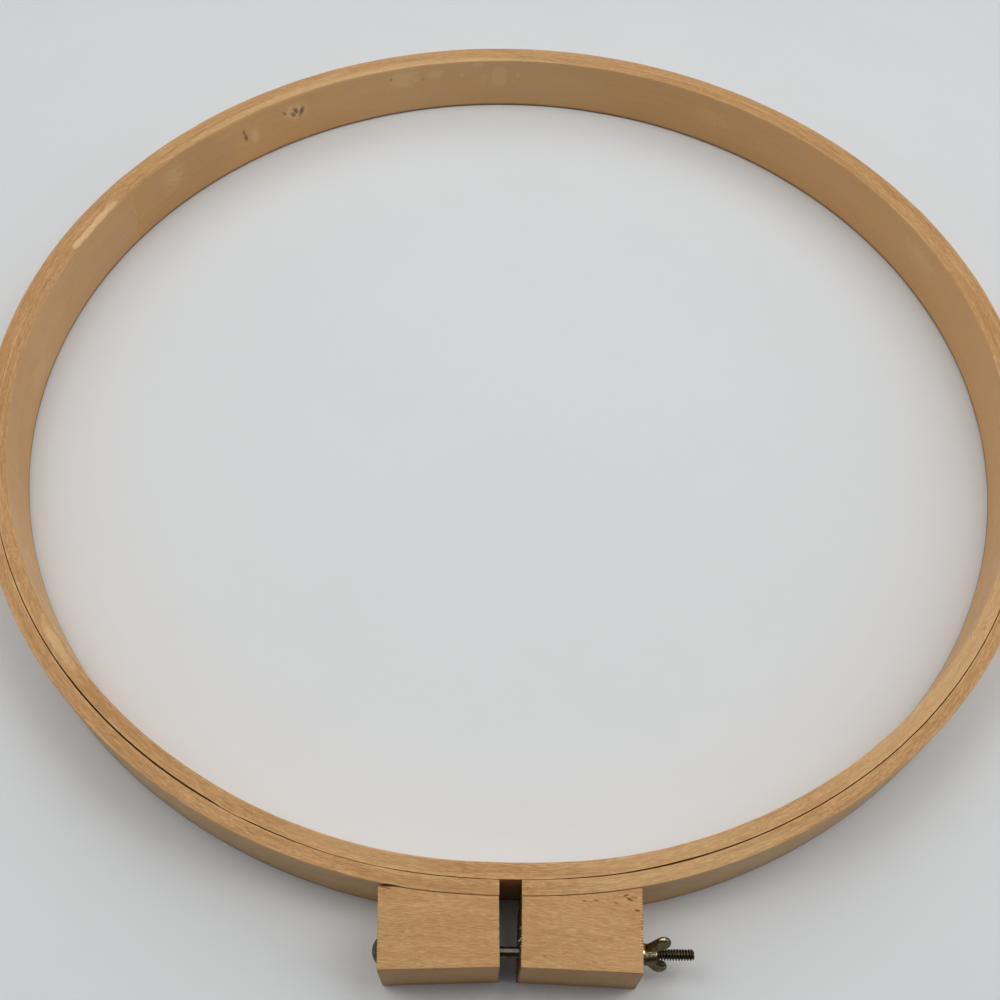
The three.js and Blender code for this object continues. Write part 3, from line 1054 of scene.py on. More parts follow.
# Where marks lie on a strip: the height of its top edge and the depths of the two strips' inner
# faces, in millimetres.
TOP_EDGE = 38.1
INNER_STRIP_BACK = 7.1
OUTER_STRIP_BACK = 6.8


def at_angle(degrees, height, depth, rings, first=0.0):
    """Where a mark on a strip is, for the Mark group. The strip starts at the angle first."""
    angle = first + (degrees - first) % 360
    return (math.radians(angle) * rings.outer_radius, height * MM, depth * MM)


def marked(tree, colour, place, paint, strength, centre, reach, turn=0.0, ragged=0.5, grit=1.5,
           softness=0.5):
    """A colour with one mark laid over it. Its centre is in metres, its reach and the grit of its
    edge are in millimetres, and its turn is in degrees."""
    mask = use(tree, shared("mark"), Place=place, Centre=centre,
               Reach=tuple(r * MM for r in reach), Turn=math.radians(turn), Ragged=ragged,
               Grit=grit, Softness=softness)["Mask"]
    return blended(tree, times(tree, mask, strength), colour, paint)


def strip_material(name, colours, rings, marks, tone, line_strength, joint_depth):
    """Bent beech strip under varnish. tone and marks are the arguments of marked after the place,
    tone being for the walls alone, and joint_depth is the depth in millimetres of the face that
    lies against the other strip."""
    material, tree, shader = new_material(name, 0.34)
    grain, place = read(tree, "grain"), read(tree, "place")
    flat, worn, _ = split(tree, read(tree, "face"))[:3]
    run, height, depth = split(tree, place)[:3]
    wood = use(tree, shared("grain"), Along=grain, Band_width=2.2, Line_width=0.42,
               Ray_length=1.9, Ray_width=0.22, Fibre_length=6.0)
    clouds = use(tree, shared("mottle"), Place=place, Size=16.0, Sharpness=0.35)
    figured = blended(tree, wood["Bands"], colours.wood_light, colours.wood_dark)
    calm = blended(tree, 0.5, colours.wood_light, colours.wood_dark)
    calm = blended(tree, times(tree, clouds["Patches"], 0.5), calm, colours.wood_pink)
    calm = marked(tree, calm, place, *tone)
    # The walls show the strip's broad side, which is calmer than its edge.
    colour = blended(tree, plus(tree, times(tree, flat, 0.6), 0.15), calm, figured)

    def on_edge(amount, on_wall):
        """A strength for the flat edges and another for the walls."""
        return plus(tree, times(tree, flat, amount - on_wall), on_wall)

    for part, amount, on_wall in (
            ("Fibre", 0.5, 0.06), ("Lines", line_strength, 0.04), ("Rays", 0.5, 0.1)):
        strength = times(tree, wood[part], on_edge(amount, on_wall))
        colour = blended(tree, strength, colour, colours.wood_fleck)
    pale = times(tree, worn, times(tree, clouds["Patches"], 0.5))
    specks = times(tree, clouds["Specks"], on_edge(0.05, 0.26))
    pale = math_of(tree, "MAXIMUM", pale, specks)
    colour = blended(tree, pale, colour, colours.wood_scraped_and_lit)
    for mark in marks:
        colour = marked(tree, colour, place, *mark)
    # Dirt and painted shade darken the joint near the top; painted contact shadow darkens the
    # foot.
    from_joint = math_of(tree, "ABSOLUTE", minus(tree, depth, joint_depth * MM))
    joint = times(tree, spread(tree, from_joint, 0.2 * MM, 0.04 * MM),
                  spread(tree, height, rings.height - 1.9 * MM, rings.height - 0.7 * MM))
    # The strips lie close at the back, so their joint is darkened less there.
    ahead = math_of(tree, "COSINE", over(tree, run, rings.outer_radius))
    joint = times(tree, joint, spread(tree, ahead, -0.1, 0.5, 0.04, 1.0))
    varied = spread(tree, noise(tree, place, 110.0, 3.0, 0.6), 0.38, 0.6, 0.65, 1.0)
    colour = blended(tree, times(tree, joint, varied), colour, colours.joint)
    # Painted contact shadow darkens the foot of both faces.
    foot = spread(tree, height, 2.6 * MM, 0.3 * MM, 0.0, 0.8)
    colour = blended(tree, foot, colour, colours.grime_and_shade)
    join(tree, colour, shader["Base Color"])
    rough = plus(tree, 0.4, times(tree, clouds["Patches"], 0.14))
    rough = plus(tree, rough, times(tree, flat, 0.12))
    # The faces that meet are bare wood, which has no gloss.
    bare = spread(tree, from_joint, 0.4 * MM, 0.15 * MM)
    join(tree, math_of(tree, "MAXIMUM", rough, bare), shader["Roughness"])
    relief = plus(tree, times(tree, wood["Fibre"], 0.4), times(tree, wood["Rays"], -0.5))
    bumped(tree, shader, times(tree, relief, on_edge(1.0, 0.3)), 0.5, 0.06 * MM)
    arrange(tree)
    return material


def inner_strip_material(colours, rings):
    pale, stain_and_shade, dark = colours.wood_scraped_and_lit, colours.stain_and_shade, colours.end_grain_and_shade

    def on_wall(degrees, height):
        return at_angle(degrees, height, INNER_STRIP_BACK, rings, SCARF_AT)

    def on_top(degrees, depth):
        return at_angle(degrees, TOP_EDGE, depth, rings, SCARF_AT)

    # Each mark gives its paint, strength, centre, reach, turn, raggedness, grit and softness.
    marks = [
        # Pale patches on the top, most of them beside the scarf.
        (pale, 0.55, on_top(244.3, 4.9), (8.5, 2, 3.0), 0.0, 0.6, 2.0, 0.5),
        (pale, 0.68, on_top(246.6, 5.1), (11, 2, 2.9), 0.0, 0.6, 2.0, 0.45),
        (pale, 0.72, on_top(249.2, 5.2), (11, 2, 2.9), 0.0, 0.6, 2.0, 0.45),
        (pale, 0.7, on_top(251.3, 4.8), (8, 2, 3.0), 0.0, 0.6, 2.0, 0.5),
        (pale, 0.5, on_top(309, 3.9), (27, 2, 3.0), 0.0, 0.9, 4.0, 0.7),
        # Paler lengths of the top.
        (pale, 0.3, on_top(46, 3.6), (130, 3, 6), 0.0, 0.4, 12.0, 0.6),
        (pale, 0.34, on_top(206, 5.0), (190, 3, 4.5), 0.0, 0.4, 12.0, 0.5),
        (pale, 0.2, on_top(346, 4.0), (60, 3, 5), 0.0, 0.4, 12.0, 0.6),
        (pale, 0.18, on_top(15, 3.8), (70, 3, 6), 0.0, 0.4, 12.0, 0.6),
        (stain_and_shade, 0.35, on_top(55.4, 3.0), (3.5, 2, 0.8), 0.0, 1.2, 1.2, 0.9),
        # Two old bruises, each in a paler ring where the varnish lifted.
        (pale, 0.6, on_wall(212.9, 25.5), (13, 9, 3), 0.0, 1.2, 2.5, 0.9),
        (stain_and_shade, 0.9, on_wall(211.95, 24.2), (2.5, 5.6, 3), -29.0, 1.0, 1.2, 0.8),
        (stain_and_shade, 0.85, on_wall(212.85, 25.9), (2.6, 4.4, 3), 26.0, 1.0, 1.2, 0.8),
        (stain_and_shade, 0.7, on_wall(213.34, 23.6), (2.3, 3.8, 3), 41.0, 1.0, 1.2, 0.8),
        (stain_and_shade, 0.5, on_wall(214.6, 27.0), (2.0, 3.4, 3), 35.0, 1.1, 1.2, 0.8),
        (pale, 0.5, on_wall(219.55, 19.6), (6, 10, 3), 0.0, 0.9, 2.5, 0.9),
        (stain_and_shade, 0.8, on_wall(221.04, 21.6), (2.4, 3.6, 3), 0.0, 0.9, 1.2, 0.8),
        (stain_and_shade, 0.6, on_wall(221.2, 26.0), (1.8, 3.2, 3), 10.0, 0.9, 1.2, 0.8),
        # Pale blooms in the varnish at the back.
        (pale, 0.46, on_wall(196.2, 28.7), (15, 10, 3), 0.0, 1.2, 4.0, 0.7),
        (pale, 0.46, on_wall(191.5, 29.5), (10, 5.5, 3), 0.0, 1.2, 3.0, 0.7),
        (stain_and_shade, 0.7, on_wall(198.16, 30.2), (1.5, 1.9, 3), 20.0, 0.9, 1.0, 0.9),
        (stain_and_shade, 0.5, on_wall(193.44, 26.2), (1.4, 1.9, 3), 20.0, 0.9, 1.0, 0.9),
        (pale, 0.42, on_wall(187.59, 27.0), (2.6, 3.0, 3), 0.0, 0.6, 2.0, 0.6),
        (pale, 0.36, on_wall(182.2, 25), (7.5, 10, 3), 0.0, 0.5, 4.0, 0.35),
        (pale, 0.28, on_wall(184.4, 23.8), (5, 6, 3), 0.0, 0.7, 3.0, 0.5),
        (pale, 0.42, on_wall(185.4, 34.8), (6.5, 3.8, 3), 0.0, 0.9, 3.0, 0.7),
        (pale, 0.3, on_wall(179.4, 26.2), (2.4, 3.6, 3), 0.0, 0.7, 2.0, 0.7),
        (pale, 0.3, on_wall(180.2, 21.4), (1.9, 1.7, 3), 0.0, 0.7, 2.0, 0.7),
        (pale, 0.38, on_wall(233.5, 25), (14, 12, 3), 0.0, 1.6, 2.0, 0.9),
        (pale, 0.3, on_wall(269, 12), (24, 9, 3), 0.0, 1.4, 3.0, 0.9),
        (pale, 0.22, on_wall(150, 22), (20, 10, 3), 0.0, 1.6, 3.0, 0.9),
        (pale, 0.22, on_wall(112, 26), (26, 9, 3), 0.0, 1.5, 3.0, 0.9),
        (pale, 0.4, on_wall(240.95, 19), (0.5, 19, 3), 11.2, 0.3, 5.0, 0.9),
        # Painted shade darkens the outer face where the gap between the blocks shows it.
        (dark, 0.15, at_angle(0, 18, 0, rings, SCARF_AT), (24, 40, 2), 0.0, 0.5, 9.0, 0.95),
        # Painted light makes the back of the wall a little paler, and painted shade makes its left
        # side duller.
        (pale, 0.24, on_wall(186, 19), (150, 60, 3), 0.0, 0.3, 12.0, 0.6),
        (stain_and_shade, 0.13, on_wall(234, 19), (65, 60, 3), 0.0, 0.3, 12.0, 0.5),
        (stain_and_shade, 0.08, on_wall(250, 19), (95, 60, 3), 0.0, 0.3, 12.0, 0.6),
        (stain_and_shade, 0.1, on_wall(277, 19), (85, 60, 3), 0.0, 0.3, 12.0, 0.6),
    ]
    tone = (colours.wood_pink, 0.85, on_wall(256, 19), (78, 60, 9), 0.0, 0.35, 10.0, 0.12)
    return strip_material("Inner strip beech", colours, rings, marks, tone, line_strength=0.28,
                          joint_depth=0.0)


def outer_strip_material(colours, rings, clamp):
    pale, stain_and_shade, dark = colours.wood_scraped_and_lit, colours.stain_and_shade, colours.end_grain_and_shade
    fleck, grime_and_shade, olive = colours.wood_fleck, colours.grime_and_shade, colours.wood_olive_shade

    def on_face(degrees, height):
        return at_angle(degrees, height, 0, rings)

    def on_top(degrees, depth):
        return at_angle(degrees, TOP_EDGE, depth, rings)

    marks = [
        (fleck, 0.6, on_top(335.8, 2.5), (3.6, 3, 0.4), 0.0, 0.5, 1.5, 0.7),
        (fleck, 0.6, on_top(336.9, 3.2), (3.4, 3, 0.4), 0.0, 0.5, 1.5, 0.7),
        (stain_and_shade, 0.8, on_top(1.47, 3.35), (0.6, 2, 0.42), 0.0, 0.4, 0.6, 0.6),
        # Paler lengths of the top, and painted shade on the wall at the front left.
        (pale, 0.2, on_top(15, 3.4), (75, 3, 6), 0.0, 0.4, 12.0, 0.6),
        (pale, 0.1, on_top(190, 3.4), (380, 3, 6), 0.0, 0.3, 12.0, 0.4),
        (stain_and_shade, 0.1, on_face(340, 17), (65, 26, 0.9), 0.0, 0.3, 10.0, 0.6),
        # Glue squeezed out along both blocks has gone dark, more so on the right.
        (grime_and_shade, 0.4, on_face(5.9, 30), (28, 14, 0.24), 0.0, 0.6, 2.0, 0.5),
        (grime_and_shade, 0.6, on_face(8.3, 30), (15, 14, 0.24), 0.0, 0.6, 2.0, 0.5),
        (grime_and_shade, 0.35, on_face(354.0, 30), (28, 14, 0.24), 0.0, 0.6, 2.0, 0.5),
        # The left block's glue has let go at its outer end, and painted shade darkens the opened
        # joint.
        (dark, 0.97, on_face(350.0, 32), (5.4, 12, 0.7), 0.0, 0.15, 1.2, 0.2),
    ]
    # The sawn ends that face each other: dark end grain under painted shade from the gap.
    for end in (clamp.gap / 2, TURN * rings.outer_radius - clamp.gap / 2):
        marks.append((dark, 0.9, (end, 14 * MM, 3.4 * MM), (0.6, 24, 12), 0.0, 0.1, 5.0, 0.3))
    # Painted cool shade dulls the strip's front. Its angles start at the front, so that is two
    # lengths.
    for middle in (22, 338):
        marks.append((olive, 0.5, on_face(middle, 17), (190, 26, 0.9), 0.0, 0.2, 10.0, 0.3))
    tone = (colours.wood_pink, 0.2, on_face(120, 19), (120, 60, 9), 0.0, 0.5, 20.0, 0.6)
    return strip_material("Outer strip beech", colours, rings, marks, tone, line_strength=0.36,
                          joint_depth=OUTER_STRIP_BACK)


def gap_shade(tree, place, clamp, rings):
    """Where a face looks into the gap, below its top edge: painted shade over end grain that glue
    has darkened.
    """
    x, y, z = split(tree, place)[:3]
    ahead = minus(tree, BLOCK_HIGH.y, y)
    lean = times(tree, ahead, clamp.gap_lean / (BLOCK_HIGH.y - BLOCK_LOW.y))
    across = plus(tree, math_of(tree, "ABSOLUTE", x), lean)
    beside = spread(tree, across, clamp.gap / 2 + 0.42 * MM, clamp.gap / 2 + 0.2 * MM)
    below = spread(tree, z, rings.height - 0.3 * MM, rings.height - 1.3 * MM)
    return times(tree, beside, below)


def saw_ticks(tree, place, side, rings, clamp):
    """Where the saw broke the top edges at the gap and at the outer end, once each pitch."""
    x, y, z = split(tree, place)[:3]
    across = times(tree, x, float(side))
    ahead = minus(tree, BLOCK_HIGH.y, y)
    depth = BLOCK_HIGH.y - BLOCK_LOW.y
    outer = minus(tree, BLOCK_HIGH.x, times(tree, ahead, clamp.taper / depth))
    inner = minus(tree, clamp.gap / 2, times(tree, ahead, clamp.gap_lean / depth))
    at_end = spread(tree, minus(tree, outer, across), 1.3 * MM, 0.4 * MM)
    at_gap = spread(tree, minus(tree, across, inner), 0.8 * MM, 0.25 * MM)
    # The left block's outer end was sawn more cleanly.
    at_end = times(tree, at_end, 1.0 if side > 0 else 0.45)
    near = math_of(tree, "MAXIMUM", at_end, at_gap)
    near = times(tree, near, spread(tree, noise(tree, place, 75.0), 0.4, 0.58, 0.15, 1.0))
    near = times(tree, near, spread(tree, z, rings.height - 1.6 * MM, rings.height - 0.8 * MM))
    wave = math_of(tree, "SINE", times(tree, y, TURN / clamp.saw_pitch))
    rough = times(tree, minus(tree, noise(tree, place, 700.0), 0.5), 4.5)
    return near, spread(tree, plus(tree, wave, rough), -0.2, 0.7)


def block_material(name, side, colours, rings, clamp, slope, tilt, start, marks):
    """Sawn and sanded beech. slope and tilt turn its grain, in degrees, and start says which part
    of the plank it was cut from."""
    material, tree, shader = new_material(name, 0.22)
    own = own_place(tree)
    turned = put(tree, "ShaderNodeMapping", own)
    turned.inputs["Rotation"].default_value = (0.0, math.radians(tilt), math.radians(slope))
    turned.inputs["Location"].default_value = (start, start * 0.37, 0.11)
    wood = use(tree, shared("grain"), Along=turned.outputs[0], Band_width=3.8, Line_width=0.38,
               Ray_length=3.2, Ray_width=0.22, Fibre_length=9.0)
    clouds = use(tree, shared("mottle"), Place=own, Size=18.0, Sharpness=0.2)
    # The sanded top shows its figure more than the sides do.
    top = spread(tree, split(tree, own)[2], rings.height - 1.2 * MM, rings.height - 0.4 * MM)
    shown = plus(tree, times(tree, top, 0.58), 0.42)
    bands = spread(tree, times(tree, minus(tree, wood["Bands"], 0.5), shown), -0.85, 0.85)
    colour = blended(tree, bands, colours.block_light, colours.block_dark)
    colour = blended(tree, times(tree, clouds["Patches"], 0.25), colour, colours.wood_pink)
    # The sides are darker, partly as sawn wood and partly as painted shade.
    colour = blended(tree, minus(tree, 1.0, shown), colour, colours.block_side_and_shade)
    for part, amount in (("Fibre", 0.4), ("Lines", 0.3), ("Rays", 0.42)):
        strength = times(tree, times(tree, wood[part], shown), amount)
        colour = blended(tree, strength, colour, colours.wood_fleck)
    for mark in marks:
        colour = marked(tree, colour, own, *mark)
    near, tick = saw_ticks(tree, own, side, rings, clamp)
    broken = blended(tree, tick, colours.wood_fleck, colours.wood_scraped_and_lit)
    colour = blended(tree, times(tree, near, 0.8), colour, broken)
    # Painted shade, over glue-darkened end grain, on the faces that look into the gap.
    uneven = spread(tree, noise(tree, own, 420.0, 3.0, 0.65), 0.35, 0.65, 0.72, 1.0)
    shade = times(tree, gap_shade(tree, own, clamp, rings), uneven)
    colour = blended(tree, shade, colour, colours.end_grain_and_shade)
    join(tree, colour, shader["Base Color"])
    join(tree, plus(tree, 0.52, times(tree, clouds["Patches"], 0.12)), shader["Roughness"])
    relief = plus(tree, times(tree, wood["Fibre"], 0.4), times(tree, wood["Rays"], -0.6))
    bumped(tree, shader, relief, 0.6, 0.08 * MM)
    arrange(tree)
    return material


def left_block_marks(colours, top):
    return [(colours.stain_and_shade, 0.7, (-0.0545, -0.2812, top), (4.0, 0.45, 2), 8.0, 0.5, 1.2, 0.7)]


def right_block_marks(colours, top):
    """The dark pores near the right block's outer corner, and one by the gap."""
    pore, stain_and_shade = colours.pore, colours.stain_and_shade
    return [
        (pore, 0.9, (0.0519, -0.2845, top), (1.9, 0.6, 2), 25.0, 0.7, 0.7, 0.4),
        (pore, 0.8, (0.0506, -0.2829, top), (1.8, 0.5, 2), -15.0, 0.7, 0.7, 0.4),
        (pore, 0.5, (0.0540, -0.2838, top), (2.2, 0.5, 2), 0.0, 0.8, 0.7, 0.5),
        (pore, 0.85, (0.0551, -0.2892, top), (1.5, 0.55, 2), 5.0, 0.6, 0.7, 0.4),
        (pore, 0.7, (0.0373, -0.2853, top), (1.6, 0.45, 2), 8.0, 0.7, 0.7, 0.4),
        (pore, 0.65, (0.0323, -0.2856, top), (1.2, 0.4, 2), 5.0, 0.7, 0.7, 0.4),
        (pore, 0.55, (0.0460, -0.2862, top), (1.4, 0.4, 2), 15.0, 0.7, 0.7, 0.4),
        (stain_and_shade, 0.7, (0.0145, -0.3083, top), (1.2, 0.4, 2), 15.0, 0.5, 0.8, 0.7),
    ]


def splinter_material(colours):
    material, tree, shader = new_material("Bare splinter")
    fibres = use(tree, shared("grain"), Along=own_place(tree))["Fibre"]
    colour = blended(tree, times(tree, fibres, 0.5), colours.splinter, colours.wood_light)
    join(tree, colour, shader["Base Color"])
    shader["Roughness"].default_value = 0.8
    arrange(tree)
    return material


def from_bolt(tree, place):
    """Which way, and how far, a point lies from the bolt's axis, in a plane across it."""
    return vector_of(tree, "MULTIPLY",
                     vector_of(tree, "SUBTRACT", place, (0.0, BOLT_Y, BOLT_Z)).outputs[0],
                     (0.0, 1.0, 1.0)).outputs[0]


def nut_wear_and_highlight(tree, place, hardware):
    """Where the wing nut shows bare brass: a painted highlight along the top of its boss, and
    plating worn off at the rims of its wings.
    """
    off = from_bolt(tree, place)
    away = vector_of(tree, "LENGTH", off).outputs["Value"]
    upward = vector_of(tree, "DOT_PRODUCT", off, (0.0, 0.2, 0.98)).outputs["Value"]
    top, half_span = hardware.boss_top_radius, hardware.wing_span / 2
    # A painted highlight: bare brass on the upper side of the boss only.
    boss = times(tree, spread(tree, away, hardware.boss_radius + 0.6 * MM, hardware.boss_radius),
                 spread(tree, upward, 0.78 * top, 0.97 * top))
    rim = times(tree, spread(tree, away, 0.86 * half_span, half_span),
                spread(tree, noise(tree, place, 700.0), 0.45, 0.6, 0.0, 0.8))
    return math_of(tree, "MAXIMUM", boss, rim)


def shank_highlight(tree, place, hardware):
    """A painted highlight in bare steel, in a line along the upper side of the bolt's plain shank.
    """
    off = from_bolt(tree, place)
    upward = vector_of(tree, "DOT_PRODUCT", off, (0.0, 0.3, 0.95)).outputs["Value"]
    line = spread(tree, upward, 0.8 * hardware.bolt_radius, 0.93 * hardware.bolt_radius)
    plain = math_of(tree, "ABSOLUTE", split(tree, place)[0])
    return times(tree, line, spread(tree, plain, 15 * MM, 12 * MM, 0.0, 0.4))


def metal_material(name, plated, bare, roughness, grain, patch, amount, hardware, rubbed):
    """Dark plating with small bare spots. The last argument says where it has worn off altogether
    and where bare metal paints a highlight.
    """
    material, tree, shader = new_material(name)
    own = own_place(tree)
    plating = use(tree, shared("plating"), Place=own, Grain=grain, Patch_size=patch, Bare=amount)
    colour = blended(tree, plating["Tarnish"], plated, tuple(c * 0.55 for c in plated))
    # Bare metal on the upper sides is a painted highlight; at the wing rims it is wear.
    bare_and_highlight = times(tree, rubbed(tree, own, hardware), 0.9)
    colour = blended(tree, math_of(tree, "MAXIMUM", plating["Wear"], bare_and_highlight), colour, bare)
    join(tree, colour, shader["Base Color"])
    shader["Metallic"].default_value = 1.0
    rough = plus(tree, roughness, times(tree, plating["Tarnish"], 0.18))
    rough = minus(tree, rough, times(tree, bare_and_highlight, 0.16))
    join(tree, rough, shader["Roughness"])
    bumped(tree, shader, plating["Height"], 0.5, 0.05 * MM)
    arrange(tree)
    return material


def floor_material(colours):
    material, tree, shader = new_material("Pale floor")
    clouds = use(tree, shared("mottle"), Place=own_place(tree), Size=140.0, Sharpness=0.1)
    colour = blended(tree, times(tree, clouds["Patches"], 0.25), colours.floor,
                     tuple(c * 0.97 for c in colours.floor))
    join(tree, colour, shader["Base Color"])
    shader["Roughness"].default_value = 0.75
    arrange(tree)
    return material


# Operators, one for each piece or group of like pieces.


class HOOP_OT_inner_ring(bpy.types.Operator):
    """Bend the inner strip and close it with its scarf joint"""

    bl_idname = "hoop.inner_ring"
    bl_label = "Inner ring"

    def execute(self, context):
        scene = context.scene
        material = inner_strip_material(scene.hoop_colours, scene.hoop_rings)
        piece = new_piece("inner_strip", inner_ring_mesh(scene.hoop_rings), material)
        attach(piece, "inner")
        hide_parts("inner_ring")
        return {"FINISHED"}


class HOOP_OT_outer_ring(bpy.types.Operator):
    """Bend the outer strip, open at the front"""

    bl_idname = "hoop.outer_ring"
    bl_label = "Outer ring"

    def execute(self, context):
        scene = context.scene
        material = outer_strip_material(scene.hoop_colours, scene.hoop_rings, scene.hoop_clamp)
        mesh = outer_ring_mesh(scene.hoop_rings, scene.hoop_clamp)
        piece = new_piece("outer_strip", mesh, material)
        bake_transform(piece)
        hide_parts("outer_ring_left", "outer_ring_right")
        return {"FINISHED"}


class HOOP_OT_clamp_blocks(bpy.types.Operator):
    """Saw both clamp blocks, bore them for the bolt and leave the splinters in the gap"""

    bl_idname = "hoop.clamp_blocks"
    bl_label = "Clamp blocks"

    def execute(self, context):
        scene = context.scene
        rings, clamp, colours = scene.hoop_rings, scene.hoop_clamp, scene.hoop_colours
        crease = 28
        for name, side, body, node, slope, tilt, start, marks in (
                ("left_block", -1, "left_half", "left_clamp_block", 2.0, 4.0, 0.31,
                 left_block_marks(colours, rings.height)),
                ("right_block", 1, "right_half", "right_clamp_block", 8.0, -4.0, 0.73,
                 right_block_marks(colours, rings.height))):
            title = name.replace("_", " ").capitalize() + " beech"
            material = block_material(
                title, side, colours, rings, clamp, slope, tilt, start, marks)
            mesh = block_mesh(name, side, rings, clamp, BLOCK_SEED + side)
            piece = new_piece(name, mesh, material, crease)
            bore(piece, side, clamp)
            piece.data.set_sharp_from_angle(angle=math.radians(crease))
            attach(piece, body)
            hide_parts(node)
        splinters = new_piece("gap_splinters", splinter_mesh(), splinter_material(colours))
        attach(splinters, "right_half")
        return {"FINISHED"}


class HOOP_OT_carriage_bolt(bpy.types.Operator):
    """Turn the carriage bolt with its dome, square neck and thread"""

    bl_idname = "hoop.carriage_bolt"
    bl_label = "Carriage bolt"

    def execute(self, context):
        scene = context.scene
        hardware, colours = scene.hoop_hardware, scene.hoop_colours
        material = metal_material(
            "Plated steel", colours.steel, colours.steel_worn_and_highlight, roughness=0.34, grain=0.35,
            patch=2.2, amount=0.25, hardware=hardware, rubbed=shank_highlight)
        piece = new_piece("clamp_bolt", carriage_bolt_mesh(hardware), material, 35)
        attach(piece, "bolt")
        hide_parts("carriage_bolt")
        return {"FINISHED"}


class HOOP_OT_wing_nut(bpy.types.Operator):
    """Cast the wing nut in one piece and turn it as it stands on the bolt"""

    bl_idname = "hoop.wing_nut"
    bl_label = "Wing nut"

    def execute(self, context):
        scene = context.scene
        hardware, colours = scene.hoop_hardware, scene.hoop_colours
        material = metal_material(
            "Plated brass", colours.brass, colours.brass_worn_and_highlight, roughness=0.36, grain=0.4,
            patch=3.0, amount=0.3, hardware=hardware, rubbed=nut_wear_and_highlight)
        piece = new_piece("clamp_wing_nut", wing_nut_mesh(hardware), material)
        cast(piece, voxel=0.24 * MM, rounds=5)
        turn = Matrix.Rotation(hardware.wing_tilt, 4, "X")
        piece.data.transform(Matrix.Translation((NUT_LOW.x, BOLT_Y, BOLT_Z)) @ turn)
        piece.data.materials.clear()
        piece.data.materials.append(material)
        piece.data.shade_smooth()
        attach(piece, "nut")
        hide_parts("wing_nut")
        return {"FINISHED"}


def area_light(name, place, size, power):
    """A soft lamp that faces the hoop."""
    lamp = bpy.data.lights.new(name, "AREA")
    lamp.shape = "RECTANGLE"
    lamp.size, lamp.size_y = size
    lamp.energy = power
    light = bpy.data.objects.new(name, lamp)
    bpy.context.scene.collection.objects.link(light)
    light.location = place
    light.rotation_euler = (-Vector(place)).to_track_quat("-Z", "Y").to_euler()


def lay_floor(stage, colours):
    """The floor, a hair below the hoop's foot."""
    half = stage.floor_size / 2
    mesh = bpy.data.meshes.new("floor")
    mesh.from_pydata([(-half, -half, 0), (half, -half, 0), (half, half, 0), (-half, half, 0)],
                     [], [(0, 1, 2, 3)])
    floor = bpy.data.objects.new("floor", mesh)
    bpy.context.scene.collection.objects.link(floor)
    floor.location.z = -0.15 * MM
    mesh.materials.append(floor_material(colours))


def hang_lamps(stage):
    """Soft lamps: each one's name, place, size and power."""
    lamps = []
    # None hangs over the middle, so the gap between the blocks stays dark.
    for side in (-1, 1):
        lamps += [("Ceiling", (side * 1.2, 0.38, 2.6), (1.5, 2.8), stage.ceiling / 2),
                  ("Overhead", (side * 0.52, 0.03, 1.4), (0.5, 0.6), stage.overhead / 2)]
    lamps += [("Window", (0.0, 2.2, 2.0), (3.0, 1.6), stage.window),
              ("Right wall", (2.4, 0.1, 1.6), (1.6, 2.8), stage.right_wall),
              ("Left wall", (-2.4, 0.15, 1.6), (1.6, 2.8), stage.left_wall)]
    for lamp in lamps:
        area_light(*lamp)


def light_room(stage):
    """Faint cool light from all round."""
    world = bpy.data.worlds.new("Soft room")
    world.use_nodes = True
    background = world.node_tree.nodes["Background"]
    background.inputs["Color"].default_value = (0.96, 0.98, 1.0, 1.0)
    background.inputs["Strength"].default_value = stage.sky
    bpy.context.scene.world = world


def set_camera(stage):
    """The camera, aimed by its yaw, pitch and roll."""
    lens = bpy.data.cameras.new("Camera")
    lens.lens = stage.focal
    lens.sensor_width = 36
    lens.sensor_fit = "HORIZONTAL"
    lens.clip_start = 0.01
    lens.clip_end = 50
    camera = bpy.data.objects.new("Camera", lens)
    bpy.context.scene.collection.objects.link(camera)
    ahead = Vector((math.sin(stage.yaw) * math.cos(stage.pitch),
                    math.cos(stage.yaw) * math.cos(stage.pitch), -math.sin(stage.pitch)))
    level = Vector((math.cos(stage.yaw), -math.sin(stage.yaw), 0))
    above = level.cross(ahead)
    right = level * math.cos(stage.roll) + above * math.sin(stage.roll)
    up = above * math.cos(stage.roll) - level * math.sin(stage.roll)
    turn = Matrix((right, up, -ahead)).transposed()
    camera.matrix_world = Matrix.Translation(stage.eye) @ turn.to_4x4()
    bpy.context.scene.camera = camera


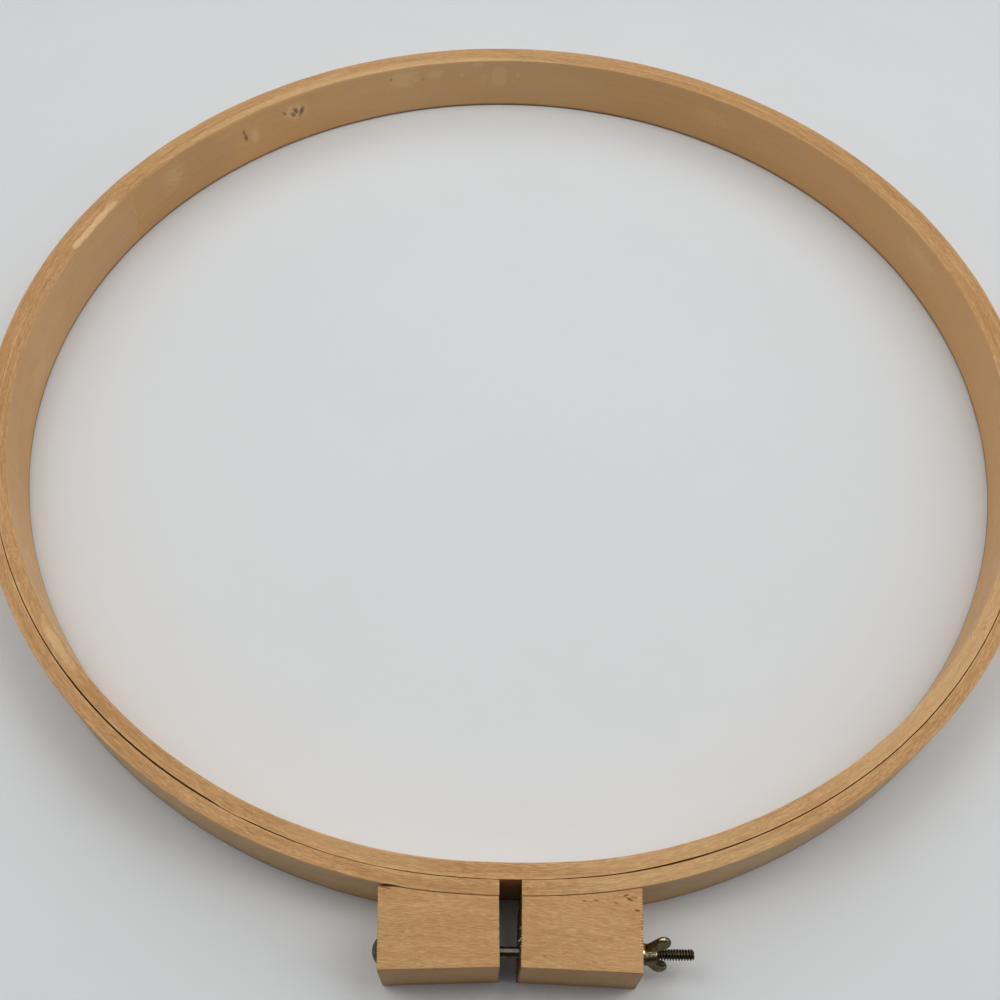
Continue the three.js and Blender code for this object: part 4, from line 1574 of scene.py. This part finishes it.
class HOOP_OT_stage(bpy.types.Operator):
    """Lay the floor, hang the soft lights and set the camera"""

    bl_idname = "hoop.stage"
    bl_label = "Stage"

    def execute(self, context):
        scene = context.scene
        stage = scene.hoop_stage
        lay_floor(stage, scene.hoop_colours)
        hang_lamps(stage)
        light_room(stage)
        set_camera(stage)
        scene.view_settings.view_transform = "Standard"
        return {"FINISHED"}


class HOOP_PT_pieces(bpy.types.Panel):
    """The hoop's pieces in the sidebar, in the order that they are made"""

    bl_label = "Clamp hoop"
    bl_idname = "HOOP_PT_pieces"
    bl_space_type = "VIEW_3D"
    bl_region_type = "UI"
    bl_category = "Hoop"

    def draw(self, context):
        for operator in OPERATORS:
            self.layout.operator(operator.bl_idname)
        for name in SETTINGS:
            group = getattr(context.scene, name)
            box = self.layout.box()
            for setting in group.bl_rna.properties:
                if setting.identifier not in {"rna_type", "name"}:
                    box.prop(group, setting.identifier)


SETTINGS = {
    "hoop_rings": HoopRingSizes,
    "hoop_clamp": HoopClampSizes,
    "hoop_hardware": HoopHardwareSizes,
    "hoop_colours": HoopColours,
    "hoop_stage": HoopStage,
}
OPERATORS = (
    HOOP_OT_inner_ring,
    HOOP_OT_outer_ring,
    HOOP_OT_clamp_blocks,
    HOOP_OT_carriage_bolt,
    HOOP_OT_wing_nut,
    HOOP_OT_stage,
)


def register():
    for kind in (*SETTINGS.values(), *OPERATORS, HOOP_PT_pieces):
        bpy.utils.register_class(kind)
    for name, kind in SETTINGS.items():
        setattr(bpy.types.Scene, name, PointerProperty(type=kind))


def unregister():
    for name in SETTINGS:
        delattr(bpy.types.Scene, name)
    for kind in reversed((*SETTINGS.values(), *OPERATORS, HOOP_PT_pieces)):
        bpy.utils.unregister_class(kind)


def plain(box):
    return [[float(number) for number in corner] for corner in box]


def main():
    register()
    bpy.ops.hoop.stage()
    bpy.ops.hoop.inner_ring()
    bpy.ops.hoop.outer_ring()
    bpy.ops.hoop.clamp_blocks()
    bpy.ops.hoop.carriage_bolt()
    bpy.ops.hoop.wing_nut()


if __name__ == "__main__":
    main()
